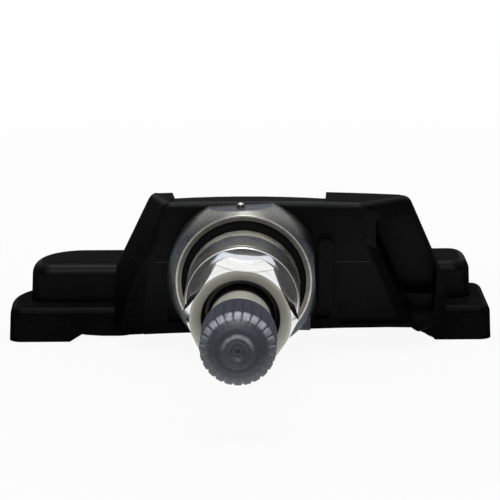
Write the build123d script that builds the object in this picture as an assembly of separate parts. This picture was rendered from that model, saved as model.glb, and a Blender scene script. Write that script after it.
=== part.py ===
from build123d import *
import math
import os

# Clamp-in tyre pressure sensor: moulded housing with its electronics, and the valve that carries it.
# Millimetres. X runs along the housing, Y along the valve into the wheel, Z up.
# The origin is on the valve axis, on the rubber face that seals against the inside of the wheel.

# Valve cup and rubber seal
CUP_R = 11.45
CUP_HEIGHT = 5.6
CUP_EDGE = 2.0
CUP_FLOOR = 1.8
CUP_RIM_R = 9.95
CUP_WALL = 0.8
CUP_SHOULDER_BULGE = 0.35
CUP_FLAT = 10.45
CUP_TILT = 2.8
KEY_SIZE = 3.2
KEY_X = 9.8
KEY_Z = -8.4
KEY_T = 1.2
PIP_R = 0.65
SEAL_STANDOUT = 2.2
SEAL_FACE_R = 8.2
SEAL_ROUND = 0.5
SEAL_NECK_R = 5.75
SEAL_NECK_LENGTH = 2.2

# Stem, from its tail in the housing to the inflation thread
STEM_TAIL_R = 4.0
STEM_TAIL = 2.2
STEM_FLANGE_R = 6.6
STEM_FLANGE_T = 1.4
STEM_THREAD_R = 5.0
STEM_THREAD_PAST_NUT = 0.5
STEM_NECK_STEP = 0.25
STEM_BARE_LENGTH = 7.9
CAP_THREAD_R = 3.85
CAP_THREAD_LENGTH = 6.3
AIR_BORE_R = 1.9
CORE_BORE_R = 2.65
CORE_BORE_DEPTH = 8.2
CORE_TAPER = 1.4

# Sleeve and nut that clamp the wheel
SLEEVE_R = 8.25
SLEEVE_LENGTH = 9.9
SLEEVE_CHAMFER = 0.35
SLEEVE_GROOVE_AT = 2.6
SLEEVE_GROOVE_W = 0.5
SLEEVE_GROOVE_DEPTH = 0.12
SLEEVE_RECESS = 3.0
NUT_ACROSS_FLATS = 14.0
NUT_TURN = 4.5
NUT_WASHER_R = 8.05
NUT_WASHER_T = 0.65
NUT_HEX_LENGTH = 9.95
NUT_CHAMFER_R = 7.1
NUT_FRONT_CHAMFER = 2.8
NUT_CORNER_LENGTH = 0.95
NUT_THREAD_LENGTH = 5.5
NUT_COUNTERBORE_R = 5.5
NUT_COUNTERSINK_R = 6.75
NUT_COUNTERSINK = 0.9

# Cap
CAP_R = 5.18
CAP_LENGTH = 8.65
CAP_TOP = 1.3
CAP_FACE_R = 3.9
CAP_SHOULDER = 1.6
CAP_DISH_R = 2.5
CAP_DISH = 0.25
CAP_NUB_R = 1.2
CAP_SPLINES = 24
CAP_GROOVE_R = 0.42
CAP_GROOVE_DEPTH = 0.24
CAP_SEAL_R = 3.6
CAP_SEAL_T = 0.9

# Valve core inside the stem
CORE_HEAD_R = 2.6
CORE_HEAD_LENGTH = 4.0
CORE_HEAD_SUNK = 1.0
CORE_NECK_R = 1.7
CORE_NECK_LENGTH = 7.0
CORE_CHAMBER_R = 1.45
CORE_CHAMBER_FLOOR = 0.5
CORE_PIN_R = 0.6
CORE_PIN_SUNK = 0.4
CORE_COLLAR_R = 1.15
CORE_COLLAR_T = 0.5
CORE_COLLAR_SUNK = 0.3
CORE_CUP_R = 1.6
CORE_CUP_T = 1.3
CORE_FOOT_R = 1.1
CORE_FOOT_T = 0.6
SPRING_R = 1.0
SPRING_WIRE_R = 0.14
SPRING_TURNS = 6
GASKET_LENGTH = 1.8

# Screw that holds the housing to the stem
SCREW_R = 2.45
SCREW_IN_STEM = 6.8
SCREW_TAP_EXTRA = 1.0
SCREW_HEAD_R = 3.8
SCREW_HEAD = 3.0
SCREW_SOCKET = 4.0
SCREW_SOCKET_DEPTH = 1.8
SCREW_BORE_R = 1.0
SCREW_WEB = 2.8
TUNNEL_R = 4.4
TUNNEL_WALL = 1.1

# Housing block, as seen along the valve: front outline, shoulder outline and back outline.
# Sizes that end in PAST count from the right wall of the cell's room, or from the block's back.
AXIS_HEIGHT = 12.1
BLOCK_TOP = 11.25
TAB_RISE = 0.35
CROWN_R = 440.0
CROWN_X = 4.1
BLOCK_LEFT_FOOT = 1.3
BLOCK_RIGHT_FOOT = 2.3
FRONT_LEFT_TOP = -11.8
FRONT_LEFT_KNEE = 3.0
FRONT_LEFT_FOOT = -17.9
FACET_WIDTH = 2.4
FACET_DEPTH = 2.1
FRONT_RIGHT_PAST = -3.7
FRONT_RIGHT_KNEE = 4.3
FRONT_RIGHT_FOOT_PAST = 2.4
FRONT_FOOT_ROUND = 1.5
SHOULDER_DEPTH = 5.5
SHOULDER_LEFT_TOP = -14.1
SHOULDER_LEFT_KNEE_X = -19.4
SHOULDER_LEFT_KNEE = -0.2
SHOULDER_LEFT_FOOT = -19.9
SHOULDER_RIGHT_TOP_PAST = 2.6
SHOULDER_RIGHT_KNEE_PAST = 7.6
SHOULDER_RIGHT_KNEE = -0.6
SHOULDER_RIGHT_FOOT_PAST = 9.1
SHOULDER_FOOT_ROUND = 4.5
BACK_DROP = 5.2
BACK_INSET = 1.2
BODY_SKEW = 2.5
BLOCK_ROUND = 0.9
TOP_ROUND = 1.5
RECESS_LEFT = -10.9
RECESS_RIGHT = 12.05
RECESS_DEPTH = 0.77
RECESS_CROWN_R = 198.0
RECESS_CROWN_X = 1.3

# Wings, stepped towards the feet
WING_LEFT = -35.5
WING_RIGHT_PAST = 15.9
WING_DRAFT = 2.5
BASE_FRONT = 6.4
BASE_BACK_PAST = 0.4
BASE_FRONT_CORNER = 1.9
BASE_SIDE_FLAT = 4.1
BASE_RIGHT_CORNER = 1.9
BASE_HEIGHT = 5.3
BASE_ROUND = 1.3
STEP_LEFT = -32.5
STEP_RIGHT_PAST = 13.4
STEP_LEFT_FRONT = 9.7
STEP_RIGHT_FRONT = 11.0
STEP_BACK_INSET = 0.6
STEP_HEIGHT = 11.2
STEP_FRONT_CORNER = 3.2
STEP_SIDE_FLAT = 0.5
STEP_RIGHT_CORNER = 3.2
STEP_ROUND = 2.0

# Underside between the feet, and the cover that closes it
ARCH_R = 500.0
ARCH_X = 22.0
WING_BEND = -17.5
WING_BEND_SLOPE = 5.5
FOOT_LEFT = -26.6
FOOT_RIGHT_PAST = 7.0
FOOT_LEFT_SLOPE = 1.9
FOOT_RIGHT_SLOPE = 4.4
COVER_T = 1.2
COVER_LEFT = -24.0
COVER_RIGHT_PAST = 2.4
COVER_RIM_WALL = 0.8
COVER_POST_R = 0.8
REBATE_LEFT = 14.2
REBATE_DEPTH = 0.9
REBATE_LIP = 0.35
PORT_R = 0.8
PORT_BOSS_R = 1.7

# Details of the front face and the pocket in the right flank
RIB_GAP = 0.55
RIB_WIDTH = 2.1
RIB_TOP = 5.3
RIB_FOOT = -5.2
RIB_STANDOUT = 2.0
NOTCH_LEFT = -10.4
NOTCH_RIGHT = 11.5
NOTCH_Z = -6.5
NOTCH_SIZE = 2.2
NOTCH_DEPTH = 1.0
POCKET_DEPTH = 10.0
POCKET_DRAFT = 3.0
POCKET_ROUND = 0.9
POCKET_TOP = 8.2
POCKET_FLOOR = -4.9
POCKET_LEFT_PAST = -2.4
POCKET_RIM = 0.45
SCOOP_DEPTH = 6.2
SCOOP_FOOT = -7.9
SCOOP_OVERLAP = 2.0
SCOOP_DRAFT = 8.0
SCOOP_FLAT = 0.3

# Electronics
WALL = 1.8
CAVITY_LEFT = -15.0
BOARD_T = 1.0
BOARD_MARGIN = 0.35
BOARD_OVER_COVER = 0.2
BATTERY_R = 8.0
BATTERY_T = 3.2
BATTERY_TAB_T = 0.2
BATTERY_TAB_W = 4.0
TAB_FOOT = 0.9
TAB_CLEARANCE = 0.45
CHIP_SIZE = 5.0
CHIP_T = 1.1
CHIP_X = -18.8
PORT_SEAL_T = 0.5
CRYSTAL_LENGTH = 3.2
CRYSTAL_WIDTH = 2.5
CRYSTAL_T = 0.8
COIL_LENGTH = 7.0
COIL_WIDTH = 2.6
COIL_T = 2.4
COIL_FLANGE = 0.9
COIL_WAIST = 0.35
ANTENNA_T = 0.3
ANTENNA_W = 3.0
ANTENNA_LENGTH = 13.0
ANTENNA_HEADROOM = 0.55

# Clearances
RUNNING_FIT = 0.05
LOOSE_FIT = 0.15
FACE_GAP = 0.03
RUBBER_GAP = 0.05

# Stations along the valve, outward is towards -Y
face_y = CUP_HEIGHT + SEAL_STANDOUT
cup_rim_y = SEAL_STANDOUT
cup_floor_y = face_y - CUP_FLOOR
flange_y = cup_floor_y - STEM_FLANGE_T
tail_y = face_y + STEM_TAIL
sleeve_end_y = -SLEEVE_LENGTH
nut_back_y = sleeve_end_y
nut_hex_y = nut_back_y - NUT_WASHER_T
nut_front_y = nut_hex_y - NUT_HEX_LENGTH
cap_back_y = nut_front_y - STEM_BARE_LENGTH
stem_end_y = cap_back_y - CAP_THREAD_LENGTH
cap_front_y = cap_back_y - CAP_LENGTH
screw_seat_y = tail_y + SCREW_WEB
core_head_y = stem_end_y + CORE_HEAD_SUNK
core_neck_y = core_head_y + CORE_HEAD_LENGTH
core_inner_y = core_neck_y + CORE_NECK_LENGTH
chamber_floor_y = core_neck_y - CORE_CHAMBER_FLOOR
collar_y = core_head_y + CORE_COLLAR_SUNK

# Heights, up from the feet
foot_z = -AXIS_HEIGHT
ledge_z = foot_z + BASE_HEIGHT
step_z = foot_z + STEP_HEIGHT
front_top = BLOCK_TOP - TAB_RISE
tunnel_outer_r = TUNNEL_R + TUNNEL_WALL
board_top_z = -tunnel_outer_r - LOOSE_FIT
board_z = board_top_z - BOARD_T
arch_z = board_z - BOARD_OVER_COVER - COVER_T
battery_z = board_top_z + BATTERY_TAB_T
battery_top_z = battery_z + BATTERY_T
ceiling_z = battery_top_z + BATTERY_TAB_T + LOOSE_FIT
antenna_top_z = step_z - WALL - ANTENNA_HEADROOM
skew = math.tan(math.radians(BODY_SKEW))
bend = math.tan(math.radians(WING_BEND_SLOPE))

# The cell lies beside the tunnel and sets how far the housing reaches to the right and to the back
cell_x = tunnel_outer_r + LOOSE_FIT + BATTERY_R
room_right = cell_x + BATTERY_R + LOOSE_FIT
cell_y = face_y + WALL + BOARD_MARGIN + BATTERY_R
tab_depth = LOOSE_FIT + BATTERY_TAB_T + TAB_FOOT + TAB_CLEARANCE
back_depth = 2 * (WALL + BOARD_MARGIN + BATTERY_R) + tab_depth
base_back = back_depth + BASE_BACK_PAST
step_back = base_back - STEP_BACK_INSET
base_left_corner = base_back - BASE_FRONT - BASE_FRONT_CORNER - BASE_SIDE_FLAT
step_left_corner = step_back - STEP_LEFT_FRONT - STEP_FRONT_CORNER - STEP_SIDE_FLAT
front_right = room_right + FRONT_RIGHT_PAST
front_right_foot = room_right + FRONT_RIGHT_FOOT_PAST
shoulder_right_top = room_right + SHOULDER_RIGHT_TOP_PAST
shoulder_right_knee = room_right + SHOULDER_RIGHT_KNEE_PAST
shoulder_right_foot = room_right + SHOULDER_RIGHT_FOOT_PAST
wing_right = room_right + WING_RIGHT_PAST
step_right = room_right + STEP_RIGHT_PAST
foot_right = room_right + FOOT_RIGHT_PAST
cover_right = room_right + COVER_RIGHT_PAST
pocket_left = room_right + POCKET_LEFT_PAST
front_left_slope = (FRONT_LEFT_FOOT - FRONT_LEFT_TOP) / (BLOCK_TOP - foot_z - BLOCK_LEFT_FOOT)
front_left_knee = FRONT_LEFT_TOP + front_left_slope * (BLOCK_TOP - FRONT_LEFT_KNEE)

# The wings lie in a frame of their own, turned a little about the valve
wing_frame = Location((0, face_y, 0), (0, 0, BODY_SKEW))


def turned(*points):
    """Solid turned about the valve axis from (radius, y) points."""
    return revolve(Polygon(*points, align=None), axis=Axis.Y)


def rod(radius, start, end):
    """Cylinder along the valve axis between two stations."""
    low = min(start, end)
    bar = Cylinder(radius, abs(end - start), align=(Align.CENTER, Align.CENTER, Align.MIN))
    return Pos(0, low, 0) * Rot(X=-90) * bar


def span_box(x0, x1, y0, y1, z0, z1):
    """Box given by its two corners."""
    box = Box(x1 - x0, y1 - y0, z1 - z0)
    return Pos((x0 + x1) / 2, (y0 + y1) / 2, (z0 + z1) / 2) * box


def arc_drop(radius, x):
    """Fall of an arc of that radius at a distance x from its crown."""
    return radius - math.sqrt(radius * radius - x * x)


def arch_at(x):
    """Height of the underside at x: an arch, bent down a little under the left wing."""
    return arch_z - arc_drop(ARCH_R, x - ARCH_X) - bend * max(0, WING_BEND - x)


def edge_between(shape, first, second):
    """Edge of a shape that runs between two of its corners."""

    def miss(edge):
        forward = (edge @ 0 - first).length + (edge @ 1 - second).length
        backward = (edge @ 1 - first).length + (edge @ 0 - second).length
        return min(forward, backward)

    return min(shape.edges(), key=miss)


class Crown:
    """Arched line of the block's top across the valve."""

    def __init__(self, top, radius, middle):
        """Take the height, radius and place of the arch."""
        self.top = top
        self.radius = radius
        self.middle = middle

    def at(self, x):
        """Height of the arch at x."""
        return self.top - arc_drop(self.radius, x - self.middle)

    def lowered(self, drop):
        """Same arch at a lower height."""
        return Crown(self.top - drop, self.radius, self.middle)


class BlockOutline:
    """Closed outline of the block across the valve, with a crowned top and a round lower right corner."""

    def __init__(self, depth, slant, crown, left, right, foot_round):
        """Place the corners, left and right being (top x, (knee x, knee z), foot x)."""

        def at(x, z):
            return Vector(x, face_y + depth + slant * x, z)

        left_top, left_knee, left_foot = left
        right_top, right_knee, right_foot = right
        middle = (left_top + right_top) / 2
        self.left_top = at(left_top, crown.at(left_top))
        self.crown = at(middle, crown.at(middle))
        self.right_top = at(right_top, crown.at(right_top))
        self.left_knee = at(*left_knee)
        self.right_knee = at(*right_knee)
        self.left_foot = at(left_foot, foot_z + BLOCK_LEFT_FOOT)
        corner = at(right_foot, foot_z + BLOCK_RIGHT_FOOT)
        self.corner = corner
        self.round_start = corner + (self.right_knee - corner).normalized() * foot_round
        self.round_end = corner + (self.left_foot - corner).normalized() * foot_round

    def face(self):
        """Flat face inside the outline."""
        edges = [
            ThreePointArc(self.left_top, self.crown, self.right_top),
            Line(self.right_top, self.right_knee),
            Line(self.right_knee, self.round_start),
            Bezier(self.round_start, self.corner, self.round_end),
            Line(self.round_end, self.left_foot),
            Line(self.left_foot, self.left_knee),
            Line(self.left_knee, self.left_top),
        ]
        return make_face(edges)


def make_block():
    """Centre block: front face, oblique flanks to the shoulder, and a roof that falls to the back."""
    crown = Crown(BLOCK_TOP, CROWN_R, CROWN_X)
    front = BlockOutline(
        0,
        0,
        crown.lowered(TAB_RISE),
        (FRONT_LEFT_TOP, (front_left_knee, FRONT_LEFT_KNEE), FRONT_LEFT_FOOT),
        (front_right, (front_right, FRONT_RIGHT_KNEE), front_right_foot),
        FRONT_FOOT_ROUND,
    )
    shoulder = BlockOutline(
        SHOULDER_DEPTH,
        0,
        crown,
        (SHOULDER_LEFT_TOP, (SHOULDER_LEFT_KNEE_X, SHOULDER_LEFT_KNEE), SHOULDER_LEFT_FOOT),
        (shoulder_right_top, (shoulder_right_knee, SHOULDER_RIGHT_KNEE), shoulder_right_foot),
        SHOULDER_FOOT_ROUND,
    )
    back_left_knee = (SHOULDER_LEFT_KNEE_X + BACK_INSET, SHOULDER_LEFT_KNEE)
    back_right_knee = (shoulder_right_knee - BACK_INSET, SHOULDER_RIGHT_KNEE)
    back = BlockOutline(
        back_depth,
        skew,
        crown.lowered(BACK_DROP),
        (SHOULDER_LEFT_TOP - BACK_INSET, back_left_knee, SHOULDER_LEFT_FOOT + BACK_INSET),
        (shoulder_right_top + BACK_INSET, back_right_knee, shoulder_right_foot - BACK_INSET),
        SHOULDER_FOOT_ROUND,
    )
    block = loft([front.face(), shoulder.face(), back.face()], ruled=True)
    roof_sides = [
        edge_between(block, front.left_top, shoulder.left_top),
        edge_between(block, front.right_top, shoulder.right_top),
        edge_between(block, shoulder.left_top, back.left_top),
        edge_between(block, shoulder.right_top, back.right_top),
        edge_between(block, shoulder.left_top, shoulder.left_knee),
        edge_between(block, shoulder.right_top, shoulder.right_knee),
    ]
    block = fillet(roof_sides, TOP_ROUND)
    rounded = [
        edge_between(block, front.left_top, front.right_top),
        edge_between(block, front.right_top, front.right_knee),
        edge_between(block, front.right_knee, front.round_start),
        edge_between(block, front.left_top, front.left_knee),
        edge_between(block, front.left_knee, front.left_foot),
        edge_between(block, back.left_top, back.right_top),
        edge_between(block, back.left_top, back.left_knee),
    ]
    block = fillet(rounded, BLOCK_ROUND)
    return block - make_facet(front)


def make_facet(front):
    """Wedge off the lower left edge of the front, from nothing at the knee to its full width at the foot."""
    foot = front.left_foot
    inner = foot + Vector(FACET_WIDTH, 0, 0)
    behind = foot + Vector(0, FACET_DEPTH, 0)
    slope = behind - inner
    outward = slope.cross(inner - front.left_knee)
    size = 4 * AXIS_HEIGHT
    waste = Box(size, size, AXIS_HEIGHT, align=(Align.CENTER, Align.CENTER, Align.MIN))
    return Plane(origin=front.left_knee, x_dir=slope, z_dir=outward) * waste


def rounded_slab(x0, x1, y0, y1, corners, z1, edge_round):
    """Drafted plate in the frame of the wings, with a round top edge and (x, y, radius) corners."""
    outline = Pos((x0 + x1) / 2, (y0 + y1) / 2, foot_z) * Rectangle(x1 - x0, y1 - y0)
    for x, y, radius in corners:
        corner = outline.vertices().sort_by_distance((x, y, foot_z))[0]
        outline = fillet(corner, radius)
    slab = extrude(outline, z1 - foot_z, taper=WING_DRAFT)
    slab = fillet(slab.faces().sort_by(Axis.Z)[-1].edges(), edge_round)
    return wing_frame * slab


def make_envelope(block):
    """Outer shape of housing and cover together, before the underside is cut."""
    base_corners = [
        (WING_LEFT, BASE_FRONT, BASE_FRONT_CORNER),
        (WING_LEFT, base_back, base_left_corner),
        (wing_right, BASE_FRONT, BASE_FRONT_CORNER),
        (wing_right, base_back, BASE_RIGHT_CORNER),
    ]
    left_corners = [
        (STEP_LEFT, STEP_LEFT_FRONT, STEP_FRONT_CORNER),
        (STEP_LEFT, step_back, step_left_corner),
    ]
    right_corners = [
        (step_right, STEP_RIGHT_FRONT, STEP_RIGHT_CORNER),
        (step_right, step_back, STEP_RIGHT_CORNER),
    ]
    base = rounded_slab(WING_LEFT, wing_right, BASE_FRONT, base_back, base_corners, ledge_z, BASE_ROUND)
    left_step = rounded_slab(STEP_LEFT, 0, STEP_LEFT_FRONT, step_back, left_corners, step_z, STEP_ROUND)
    right_step = rounded_slab(0, step_right, STEP_RIGHT_FRONT, step_back, right_corners, step_z, STEP_ROUND)
    return block + base + left_step + right_step


def arch_edges(x0, x1, lift):
    """Lifted line of the underside between two places: an arch, and a straight under the wing."""

    def at(x):
        return Vector(x, 0, arch_at(x) + lift)

    start = max(x0, WING_BEND)
    arch = ThreePointArc(at(start), at((start + x1) / 2), at(x1))
    if x0 < start:
        return [Line(at(x0), at(start)), arch]
    return [arch]


def arched_strip(x0, x1, low, high):
    """Edges of a strip that follows the underside between two lifts."""
    lower = arch_edges(x0, x1, low)
    upper = arch_edges(x0, x1, high)
    left = Line(lower[0] @ 0, upper[0] @ 0)
    right = Line(lower[-1] @ 1, upper[-1] @ 1)
    return lower + upper + [left, right]


def across(edges):
    """Outline across the valve, run through the whole depth of the housing."""
    depth = face_y + 2 * back_depth
    return extrude(make_face(edges), depth, dir=(0, 1, 0))


def make_under_cut():
    """Room below the arched underside, between the two feet."""
    left = FOOT_LEFT + FOOT_LEFT_SLOPE
    right = foot_right - FOOT_RIGHT_SLOPE
    arch = arch_edges(left, right, 0)
    below = 2 * foot_z - arch_z
    right_foot = (foot_right, 0, foot_z)
    left_foot = (FOOT_LEFT, 0, foot_z)
    edges = arch + [
        Line(arch[-1] @ 1, right_foot),
        Line(right_foot, (foot_right, 0, below)),
        Line((foot_right, 0, below), (FOOT_LEFT, 0, below)),
        Line((FOOT_LEFT, 0, below), left_foot),
        Line(left_foot, arch[0] @ 0),
    ]
    return across(edges)


def make_cover_slab(gap):
    """Arched slab that the cover is cut from, with a gap round it."""
    return across(arched_strip(COVER_LEFT - gap, cover_right + gap, 0, COVER_T + gap))


def cavity_box(margin, z0, z1):
    """Main room of the housing, below the screw tunnel."""
    return span_box(
        CAVITY_LEFT + margin,
        room_right - margin,
        face_y + WALL + margin,
        face_y + back_depth - WALL - margin,
        z0,
        z1,
    )


def wing_box(margin, z0, z1):
    """Room in the left wing that opens into the main room."""
    return wing_frame * span_box(
        COVER_LEFT + WALL + margin,
        CAVITY_LEFT + WALL,
        STEP_LEFT_FRONT + WALL + margin,
        step_back - WALL - margin,
        z0,
        z1,
    )


def make_pocket():
    """Deep pocket in the oblique right flank, open towards the front."""
    flank = (shoulder_right_knee - shoulder_right_top) / (BLOCK_TOP - SHOULDER_RIGHT_KNEE)
    knee_x = shoulder_right_knee - POCKET_RIM
    top_right = knee_x - flank * (POCKET_TOP - SHOULDER_RIGHT_KNEE)
    lean = (front_right_foot - front_right) / (FRONT_RIGHT_KNEE - foot_z - BLOCK_RIGHT_FOOT)
    floor_left = pocket_left + lean * (FRONT_RIGHT_KNEE - POCKET_FLOOR)
    outline = Polygon(
        (pocket_left, POCKET_TOP),
        (pocket_left, FRONT_RIGHT_KNEE),
        (floor_left, POCKET_FLOOR),
        (knee_x, POCKET_FLOOR),
        (knee_x, SHOULDER_RIGHT_KNEE),
        (top_right, POCKET_TOP),
        align=None,
    )
    outline = fillet(outline.vertices(), POCKET_ROUND)
    mouth = Pos(0, face_y, 0) * (Plane.XZ * outline)
    pocket = extrude(mouth, -POCKET_DEPTH, taper=POCKET_DRAFT)
    scoop_top = POCKET_FLOOR + SCOOP_OVERLAP
    scoop_left = pocket_left + lean * (FRONT_RIGHT_KNEE - scoop_top)
    foot_left = pocket_left + lean * (FRONT_RIGHT_KNEE - SCOOP_FOOT)
    scoop = Polygon(
        (scoop_left, scoop_top),
        (foot_left, SCOOP_FOOT),
        (knee_x, SCOOP_FOOT),
        (knee_x, scoop_top),
        align=None,
    )
    scoop_round = (knee_x - foot_left - SCOOP_FLAT) / 2
    scoop = fillet(scoop.vertices().sort_by(Axis.Y)[:2], scoop_round)
    lip = Pos(0, face_y, 0) * (Plane.XZ * scoop)
    return pocket + extrude(lip, -SCOOP_DEPTH, taper=SCOOP_DRAFT)


def recess_face(depth, crown):
    """Outline of the roof recess across the valve, open at the top."""

    def floor_at(x):
        return Vector(x, face_y + depth, crown.at(x))

    left_high = (RECESS_LEFT, face_y + depth, 2 * BLOCK_TOP)
    right_high = (RECESS_RIGHT, face_y + depth, 2 * BLOCK_TOP)
    middle = (RECESS_LEFT + RECESS_RIGHT) / 2
    floor = ThreePointArc(floor_at(RECESS_LEFT), floor_at(middle), floor_at(RECESS_RIGHT))
    edges = [
        floor,
        Line(floor @ 1, right_high),
        Line(right_high, left_high),
        Line(left_high, floor @ 0),
    ]
    return make_face(edges)


def make_recess():
    """Recess between the two tabs: starts at the front edge, deepens to the shoulder and follows the roof."""
    floor = Crown(BLOCK_TOP - RECESS_DEPTH, RECESS_CROWN_R, RECESS_CROWN_X)
    fall = (front_top - floor.top) / (SHOULDER_DEPTH - BLOCK_ROUND)
    lead = Crown(front_top + 2 * BLOCK_ROUND * fall, CROWN_R, CROWN_X)
    roof_fall = BACK_DROP / (back_depth - SHOULDER_DEPTH)
    end = floor.lowered(roof_fall * (2 * back_depth - SHOULDER_DEPTH))
    faces = [
        recess_face(-BLOCK_ROUND, lead),
        recess_face(SHOULDER_DEPTH, floor),
        recess_face(2 * back_depth, end),
    ]
    return loft(faces, ruled=True)


def make_housing(envelope):
    """Moulded housing, open below, with the screw tunnel through its back."""
    body = envelope - make_under_cut() - make_cover_slab(FACE_GAP)
    body = body - make_recess()
    room = cavity_box(0, foot_z, ceiling_z) + wing_box(0, foot_z, step_z - WALL)
    boss = rod(tunnel_outer_r, face_y, face_y + 2 * back_depth)
    body = body - (room - boss)
    body = body - rod(TUNNEL_R, screw_seat_y, face_y + 2 * back_depth)
    body = body - rod(SCREW_R + LOOSE_FIT, face_y, screw_seat_y)
    body = body - rod(STEM_TAIL_R + RUNNING_FIT, 0, tail_y + FACE_GAP)
    body = body - make_pocket()
    for x in (NOTCH_LEFT, NOTCH_RIGHT):
        notch = Pos(x, face_y, NOTCH_Z) * Box(NOTCH_SIZE, 2 * NOTCH_DEPTH, NOTCH_SIZE)
        body = body - notch
    return body + make_rib()


def make_rib():
    """Rib on the front face that stops the cup from turning."""
    left = CUP_FLAT + RIB_GAP
    front = face_y - RIB_STANDOUT
    rib = span_box(left, left + RIB_WIDTH, front, face_y + WALL / 2, RIB_FOOT, RIB_TOP)
    return fillet(rib.edges().filter_by(Axis.Y), RIB_WIDTH / 4)


def make_cover(envelope):
    """Arched cover with a locating rim, posts under the board and the air port."""
    cover = envelope & make_cover_slab(0)
    cover = cover - make_rebate()
    rim_z = arch_z + COVER_T / 8
    rim_top = board_z - LOOSE_FIT
    rim = cavity_box(LOOSE_FIT, rim_z, rim_top)
    rim = rim - cavity_box(LOOSE_FIT + COVER_RIM_WALL, rim_z, rim_top)
    rim = rim - wing_box(-WALL, rim_z, rim_top)
    cover = cover + rim
    inset = 2 * COVER_POST_R
    for x in (CAVITY_LEFT + inset, room_right - inset):
        for y in (face_y + WALL + inset, face_y + back_depth - WALL - inset):
            cover = cover + upright(x, y, COVER_POST_R, board_z)
    port = port_place()
    boss_top = board_z - CHIP_T - PORT_SEAL_T
    cover = cover + upright(port.X, port.Y, PORT_BOSS_R, boss_top)
    return cover - Pos(port.X, port.Y, 0) * Cylinder(PORT_R, 4 * AXIS_HEIGHT)


def make_rebate():
    """Step in the front edge of the cover, so that only a thin lip shows below the housing."""
    strip = make_face(arched_strip(REBATE_LEFT, cover_right, REBATE_LIP, 2 * COVER_T))
    return extrude(strip, face_y + REBATE_DEPTH, dir=(0, 1, 0))


def upright(x, y, radius, top):
    """Round post from the middle of the cover's thickness up to a height."""
    start = arch_at(x) + COVER_T / 2
    post = Cylinder(radius, top - start, align=(Align.CENTER, Align.CENTER, Align.MIN))
    return Pos(x, y, start) * post


def wing_place(x, z):
    """Point on the middle line of the left wing's room."""
    middle = (STEP_LEFT_FRONT + step_back) / 2
    return (wing_frame * Location((x, middle, z))).position


def port_place():
    """Middle of the sensor chip and of the air port under it."""
    return wing_place(CHIP_X, board_z)


def make_board():
    """Circuit board with a tongue into the left wing."""
    board = cavity_box(BOARD_MARGIN, board_z, board_top_z)
    return board + wing_box(BOARD_MARGIN, board_z, board_top_z)


def make_battery():
    """Coin cell: a can with a raised, slightly smaller pole face."""
    can = Cylinder(BATTERY_R, BATTERY_T, align=(Align.CENTER, Align.CENTER, Align.MIN))
    can = chamfer(can.edges().sort_by(Axis.Z)[0], BATTERY_T / 8)
    can = fillet(can.edges().sort_by(Axis.Z)[-1], BATTERY_T / 8)
    return Pos(cell_x, cell_y, battery_z) * can


def make_tab_lower():
    """Contact strip between board and cell."""
    half = BATTERY_TAB_W / 2
    reach = BATTERY_R / 2
    return span_box(
        cell_x - half, cell_x + half, cell_y - reach, cell_y + reach, board_top_z, battery_z
    )


def make_tab_upper():
    """Contact strip over the cell that comes down behind it to the board."""
    left = cell_x - BATTERY_TAB_W / 2
    right = cell_x + BATTERY_TAB_W / 2
    back = cell_y + BATTERY_R + LOOSE_FIT
    top = battery_top_z + BATTERY_TAB_T
    outer = back + BATTERY_TAB_T
    over = span_box(left, right, cell_y - BATTERY_R / 2, outer, battery_top_z, top)
    leg = span_box(left, right, back, outer, board_top_z, top)
    foot_top = board_top_z + BATTERY_TAB_T
    foot = span_box(left, right, back, outer + TAB_FOOT, board_top_z, foot_top)
    return over + leg + foot


def make_chip():
    """Sensor package under the board, with its air hole over the port."""
    port = port_place()
    chip = Box(CHIP_SIZE, CHIP_SIZE, CHIP_T, align=(Align.CENTER, Align.CENTER, Align.MAX))
    chip = chip - Pos(0, 0, -CHIP_T) * Cylinder(PORT_R, CHIP_T)
    return Location((port.X, port.Y, board_z), (0, 0, BODY_SKEW)) * chip


def make_port_seal():
    """Ring between the chip and the port's boss."""
    port = port_place()
    ring = Cylinder(PORT_BOSS_R, PORT_SEAL_T) - Cylinder(PORT_R, PORT_SEAL_T)
    return Pos(port.X, port.Y, board_z - CHIP_T - PORT_SEAL_T / 2) * ring


def make_crystal():
    """Small timing crystal on the board, beside the tunnel."""
    x = CAVITY_LEFT + BOARD_MARGIN + CRYSTAL_LENGTH
    y = face_y + back_depth / 2
    body = Box(CRYSTAL_LENGTH, CRYSTAL_WIDTH, CRYSTAL_T, align=(Align.CENTER, Align.CENTER, Align.MIN))
    body = fillet(body.edges().filter_by(Axis.Z), CRYSTAL_T / 4)
    return Pos(x, y, board_top_z) * body


def make_coil():
    """Wake-up coil: a bobbin with two square flanges and a round winding between them."""
    x = CAVITY_LEFT + BOARD_MARGIN + COIL_LENGTH / 2 + BOARD_MARGIN
    y = face_y + WALL + BOARD_MARGIN + COIL_WIDTH
    flange = Box(COIL_FLANGE, COIL_WIDTH, COIL_T)
    reach = (COIL_LENGTH - COIL_FLANGE) / 2
    winding_r = COIL_T / 2 - COIL_WAIST
    coil = Rot(Y=90) * Cylinder(winding_r, COIL_LENGTH - COIL_FLANGE)
    coil = coil + Pos(-reach, 0, 0) * flange + Pos(reach, 0, 0) * flange
    return Pos(x, y, board_top_z + COIL_T / 2) * coil


def make_antenna():
    """Bridge of flat strip over the wing's board, on two bent feet."""
    far = COVER_LEFT + WALL + 2 * BOARD_MARGIN
    near = far + ANTENNA_LENGTH
    middle = (STEP_LEFT_FRONT + step_back) / 2
    y0 = middle - ANTENNA_W / 2
    y1 = middle + ANTENNA_W / 2
    top = antenna_top_z
    bridge = span_box(far, near, y0, y1, top - ANTENNA_T, top)
    leg_far = span_box(far, far + ANTENNA_T, y0, y1, board_top_z, top)
    leg_near = span_box(near - ANTENNA_T, near, y0, y1, board_top_z, top)
    return wing_frame * (bridge + leg_far + leg_near)


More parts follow.
